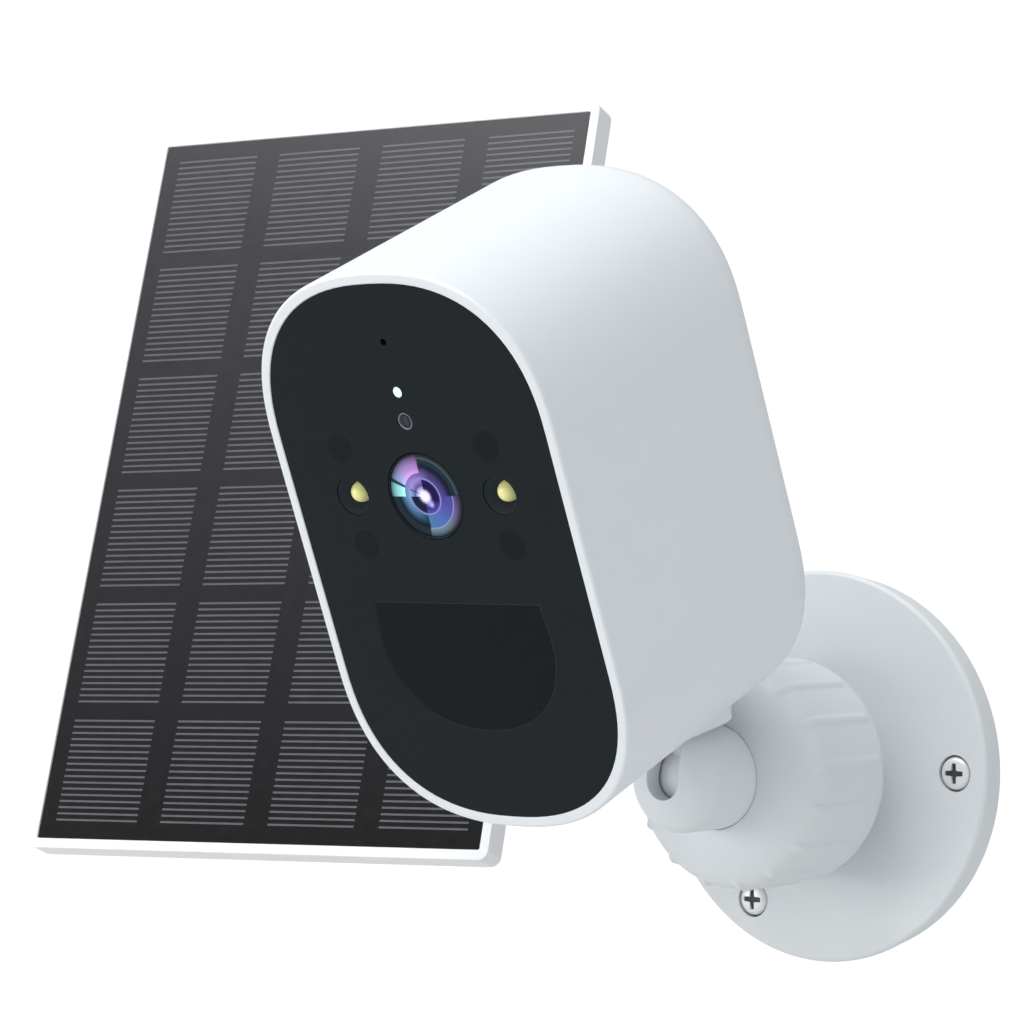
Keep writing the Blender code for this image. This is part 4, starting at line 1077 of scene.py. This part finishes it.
def make_rear_controls():
    """The power button with a dished top, and the rubber cover over the port."""
    key = [(0, 7.6), (1.5, 7.6), (1.5, 2.6), (BUTTON_RADIUS, 2.6), (BUTTON_RADIUS, -0.35)]
    key += [(BUTTON_RADIUS - 0.5, -0.7), (2.6, -0.7), (2.0, -0.45), (0, -0.35)]
    spot = on_body(0, BUTTON_HEIGHT, BODY_DEPTH)
    turned("power_button", soften(key, 0.3), spot, WHITE_RUBBER, "power_key", "white_rubber", 64)
    hinge = FACE @ shift(FLAP_X, BODY_DEPTH + GAP, PORT_HEIGHT + FLAP_HALF_HEIGHT)
    outline = rounded_box(FLAP_HALF_WIDTH, FLAP_HALF_HEIGHT, 3.2, 10, -FLAP_HALF_HEIGHT)
    cover = slab("port_cover_visual", [outline], 0, FLAP_THICK, hinge, WHITE_RUBBER, 0.4)
    show(cover, "port_flap", "white_rubber", "port_cover")


# ---- solar panel and bracket ----
def make_panel():
    half_width = PANEL_HALF_WIDTH + PANEL_BORDER
    half_height = PANEL_HALF_HEIGHT + PANEL_BORDER
    opening = rounded_box(PANEL_HALF_WIDTH + 0.05, PANEL_HALF_HEIGHT + 0.05, 0.3, 2)
    edge = rounded_box(half_width, half_height, PANEL_CORNER, 8)
    case = slab("panel_frame_visual", [edge, opening], 0, PANEL_THICK, PANEL, WHITE_CASE, 0.18)
    show(case, "panel", "panel_casing", "panel_frame")
    inside = rounded_box(PANEL_HALF_WIDTH - 0.03, PANEL_HALF_HEIGHT - 0.03, 0.4, 2)
    glass = slab("solar_laminate_visual", [inside], LAMINATE_DEPTH, 2.1, PANEL, LAMINATE_AND_SKY_REFLECTION, 0.05)
    show(glass, "panel", "solar_cells", "solar_laminate")
    show(make_fingers(), "panel", "solar_cells")
    cover = slab("panel_back_visual", [inside], 2.5, PANEL_THICK - 0.02, PANEL, WHITE_CASE, 0.1)
    show(cover, "panel", "panel_casing", "panel_back_cover")
    low = (-JUNCTION_HALF_WIDTH, PANEL_THICK + GAP, JUNCTION_BOTTOM)
    high = (JUNCTION_HALF_WIDTH, PANEL_THICK + JUNCTION_BACK, JUNCTION_TOP)
    box = block("junction_box_visual", low, high, PANEL, WHITE_CASE, 1.4)
    show(box, "panel", "panel_casing", "junction_box")
    spot = PANEL @ shift(0, PANEL_THICK + 3.0, JUNCTION_BOTTOM - GAP)
    gland = [(0, 0), (2.5, 0), (2.5, -0.8)]
    for index in range(GLAND_RINGS):
        low = -1.0 - 1.4 * index
        radius = 2.35 - 0.1 * index
        gland += [(radius, low), (radius, low - 0.7), (1.9 - 0.05 * index, low - 0.9)]
    gland += [(1.9, -7), (1.5, -7), (1.5, -2), (0, -2)]
    turned("cable_outlet", gland, spot, BLACK_RUBBER, "panel", "black_rubber", SMALL_ROUND)


def make_fingers():
    """The printed silver lines of every cell, just proud of the laminate."""
    work = bmesh.new()
    for column in range(CELL_COLUMNS):
        for row in range(CELL_ROWS):
            middle_x = CELL_STEP_X * (column - (CELL_COLUMNS - 1) / 2) + CELL_SHIFT
            middle_z = -CELL_STEP_Z * (row - (CELL_ROWS - 1) / 2)
            for line in range(FINGERS):
                z = middle_z + FINGER_STEP * (line - (FINGERS - 1) / 2)
                made = bmesh.ops.create_cube(work, size=1.0)["verts"]
                bmesh.ops.scale(work, vec=(CELL_WIDTH, 0.05, FINGER_WIDTH), verts=made)
                bmesh.ops.translate(work, vec=(middle_x, LAMINATE_DEPTH - 0.01, z), verts=made)
    return put("cell_fingers", work, PANEL, FINGER_SILVER)


def make_foot():
    back = PANEL_THICK + GAP - TILT_AXIS_FROM_GLASS
    low = (-FOOT_HALF_WIDTH, back, -FOOT_HALF_HEIGHT)
    high = (FOOT_HALF_WIDTH, back + FOOT_THICK, FOOT_HALF_HEIGHT)
    foot = block("panel_foot_visual", low, high, PANEL_TILT, GREY_PLASTIC, 0.8)
    outline = [(up, -across) for across, up in ear_outline(LUG_RADIUS, back + 1.2)]
    inner = BARREL_HALF_LENGTH + GAP
    lugs = []
    for side in (-1, 1):
        low, high = sorted((side * inner, side * (inner + LUG_THICK)))
        lugs.append(slab("lug", [outline], low, high, PANEL_TILT @ turn(-pi / 2, "Z"), None, 0.3))
    join(foot, *lugs)
    carve(foot, bore(PANEL_TILT @ TO_RIGHT, PIN_HOLE))
    show(soft_edges(foot, 0.25), "panel", "grey_plastic", "panel_foot")


def make_bracket():
    """The panel's wall plate with two ears, its screws and the yaw pin."""
    front = BRACKET_PLATE_THICK
    edge = 1.8
    profile = [(0, front)] + arc(BRACKET_PLATE_RADIUS - edge, front - edge, edge, edge, 90, 0, 8)
    profile += [(BRACKET_PLATE_RADIUS, 0.3), (BRACKET_PLATE_RADIUS - 0.3, 0), (0, 0)]
    wall = lathe("panel_wall_plate_visual", profile, BRACKET @ TO_FRONT, WHITE_MOUNT, 128)
    axis = BRACKET @ shift(0, -YAW_AXIS_FROM_WALL, 0)
    outline = ear_outline(EAR_RADIUS, YAW_AXIS_FROM_WALL - 2.0)
    upright = axis @ turn(-pi / 2, "X")
    ears = []
    for low in (EAR_START, -EAR_START - EAR_THICK):
        ears.append(slab("ear", [outline], -low - EAR_THICK, -low, upright, None, 0.3))
    join(wall, *ears)
    carve(wall, bore(axis, PIN_HOLE))
    spots = screw_spots(BRACKET, BRACKET_SCREW_CIRCLE, pi / 2)
    drill_for_screws(wall, spots, front)
    show(soft_edges(wall, 0.2), "wall_group", "white_mount", "panel_wall_plate")
    for index, spot in enumerate(spots):
        make_screw(f"bracket_screw_{index + 1}", spot, front)
    reach = EAR_START + EAR_THICK + GAP
    end = reach + PIN_HEAD_THICK
    upper = [(0, end), (PIN_HEAD_RADIUS, end), (PIN_HEAD_RADIUS, reach), (PIN_RADIUS, reach)]
    profile = upper + [(radius, -height) for radius, height in upper[::-1]]
    turned("yaw_pin", soften(profile, 0.5), YAW, STEEL, "wall_group", "steel", SMALL_ROUND)


def make_swivel_block():
    """The block between the yaw pin and the tilt bolt, with that bolt."""
    half = EAR_START - GAP
    rod = soften(cylinder(EAR_RADIUS, half, -half), 0.5)
    piece = lathe("swivel_block_visual", rod, YAW, GREY_PLASTIC, 64)
    level = YAW @ shift(0, -SWIVEL_ARM, 0) @ TO_RIGHT
    low = (-ARM_HALF_WIDTH, -SWIVEL_ARM, -ARM_HALF_HEIGHT)
    arm = block("block_arm", low, (ARM_HALF_WIDTH, -2, ARM_HALF_HEIGHT), YAW, None, 0.6)
    rod = soften(cylinder(LUG_RADIUS, BARREL_HALF_LENGTH, -BARREL_HALF_LENGTH), 0.4)
    join(piece, arm, lathe("block_barrel", rod, level, None, 64))
    carve(piece, bore(YAW, PIN_HOLE), bore(level, PIN_HOLE))
    show(soft_edges(piece, 0.25), "panel_swivel", "grey_plastic", "swivel_block")
    outer = BARREL_HALF_LENGTH + LUG_THICK + 2 * GAP
    head = -outer - BOLT_HEAD_THICK
    profile = [(0, BOLT_END), (PIN_RADIUS, BOLT_END), (PIN_RADIUS, -outer), (BOLT_HEAD_RADIUS, -outer)]
    profile += [(BOLT_HEAD_RADIUS, head), (0, head)]
    turned("tilt_bolt", soften(profile, 0.4), level, STEEL, "panel_swivel", "steel", SMALL_ROUND)
    make_knob(level, outer)


def knob_grip(angle, radius, height):
    if radius < KNOB_RADIUS - 0.4:
        return 0.0
    return -KNOB_GRIP_DEPTH * (0.5 + 0.5 * cos(KNOB_GRIPS * angle))


def make_knob(place, start):
    """The tilt knob, whose hub starts this far along the bolt."""
    end = start + KNOB_LENGTH
    hollow = BOLT_END + 0.4
    profile = [(0, end), (5.8, end), (KNOB_RADIUS, start + 5.4), (KNOB_RADIUS, start + 1.4), (4.4, start)]
    profile += [(PIN_HOLE, start), (PIN_HOLE, hollow), (0, hollow)]
    turned("tilt_knob", soften(profile, 0.6), place, GREY_PLASTIC, "knob", "grey_plastic", 144, knob_grip)


make_wall_plate()
make_collar()
make_socket()
make_neck()
make_shell()
make_front_panel()
make_lens()
make_lamps()
make_small_front_pieces()
make_rear_controls()
make_panel()
make_foot()
make_bracket()
make_swivel_block()


# ---- floor, light and camera ----
def white_to_camera(tree, output, seen, unseen):
    """Seen directly it is plain white, and it lights the object a little less than that."""
    path = tree.nodes.new("ShaderNodeLightPath")
    blend = tree.nodes.new("ShaderNodeMixShader")
    tree.links.new(path.outputs["Is Camera Ray"], blend.inputs[0])
    tree.links.new(unseen, blend.inputs[1])
    tree.links.new(seen, blend.inputs[2])
    tree.links.new(blend.outputs[0], output)


def make_world():
    world = bpy.data.worlds.new("studio")
    bpy.context.scene.world = world
    world.use_nodes = True
    tree = world.node_tree
    around = tree.nodes["Background"]
    around.inputs["Color"].default_value = SKY_COLOUR
    around.inputs["Strength"].default_value = SKY_STRENGTH
    plain = tree.nodes.new("ShaderNodeBackground")
    plain.inputs["Color"].default_value = (1, 1, 1, 1)
    plain.inputs["Strength"].default_value = SEEN_WHITE
    output = tree.nodes["World Output"].inputs["Surface"]
    white_to_camera(tree, output, plain.outputs[0], around.outputs[0])


def make_floor():
    floor_mesh = bpy.data.meshes.new("floor")
    size = FLOOR_HALF_SIZE
    height = cad_box[0].z - FLOOR_DROP
    corners = [(x * size, y * size, height) for x, y in ((-1, -1), (1, -1), (1, 1), (-1, 1))]
    floor_mesh.from_pydata(corners, [], [(0, 1, 2, 3)])
    floor = add_object("floor", floor_mesh)
    paint = bpy.data.materials.new("floor_white")
    paint.use_nodes = True
    tree = paint.node_tree
    matte = tree.nodes["Principled BSDF"]
    matte.inputs["Base Color"].default_value = FLOOR_COLOUR
    matte.inputs["Roughness"].default_value = 0.9
    glow = tree.nodes.new("ShaderNodeEmission")
    glow.inputs["Strength"].default_value = SEEN_WHITE
    output = tree.nodes["Material Output"].inputs["Surface"]
    white_to_camera(tree, output, glow.outputs[0], matte.outputs[0])
    floor_mesh.materials.append(paint)


def aim(obj, place, heading):
    """Puts a light or a camera here, facing this way."""
    obj.location = place
    obj.rotation_euler = Vector(heading).to_track_quat("-Z", "Y").to_euler()


def make_light(name, place, size, watts):
    """A rectangular light that faces the middle of the object."""
    middle = (cad_box[0] + cad_box[1]) / 2
    data = bpy.data.lights.new(name, "AREA")
    data.shape = "RECTANGLE"
    data.size, data.size_y = size
    data.energy = watts
    aim(add_object(name, data), place, middle - Vector(place))


def make_camera():
    data = bpy.data.cameras.new("main_camera")
    data.lens = FOCAL_LENGTH_MM
    data.sensor_width = SENSOR_WIDTH_MM
    data.clip_start = 0.01
    data.clip_end = 50.0
    camera = add_object("main_camera", data)
    aim(camera, CAMERA_PLACE, CAMERA_HEADING)
    bpy.context.scene.camera = camera


make_world()
make_floor()
for light_values in LIGHTS:
    make_light(*light_values)
make_camera()
bpy.context.scene.view_settings.view_transform = "Standard"
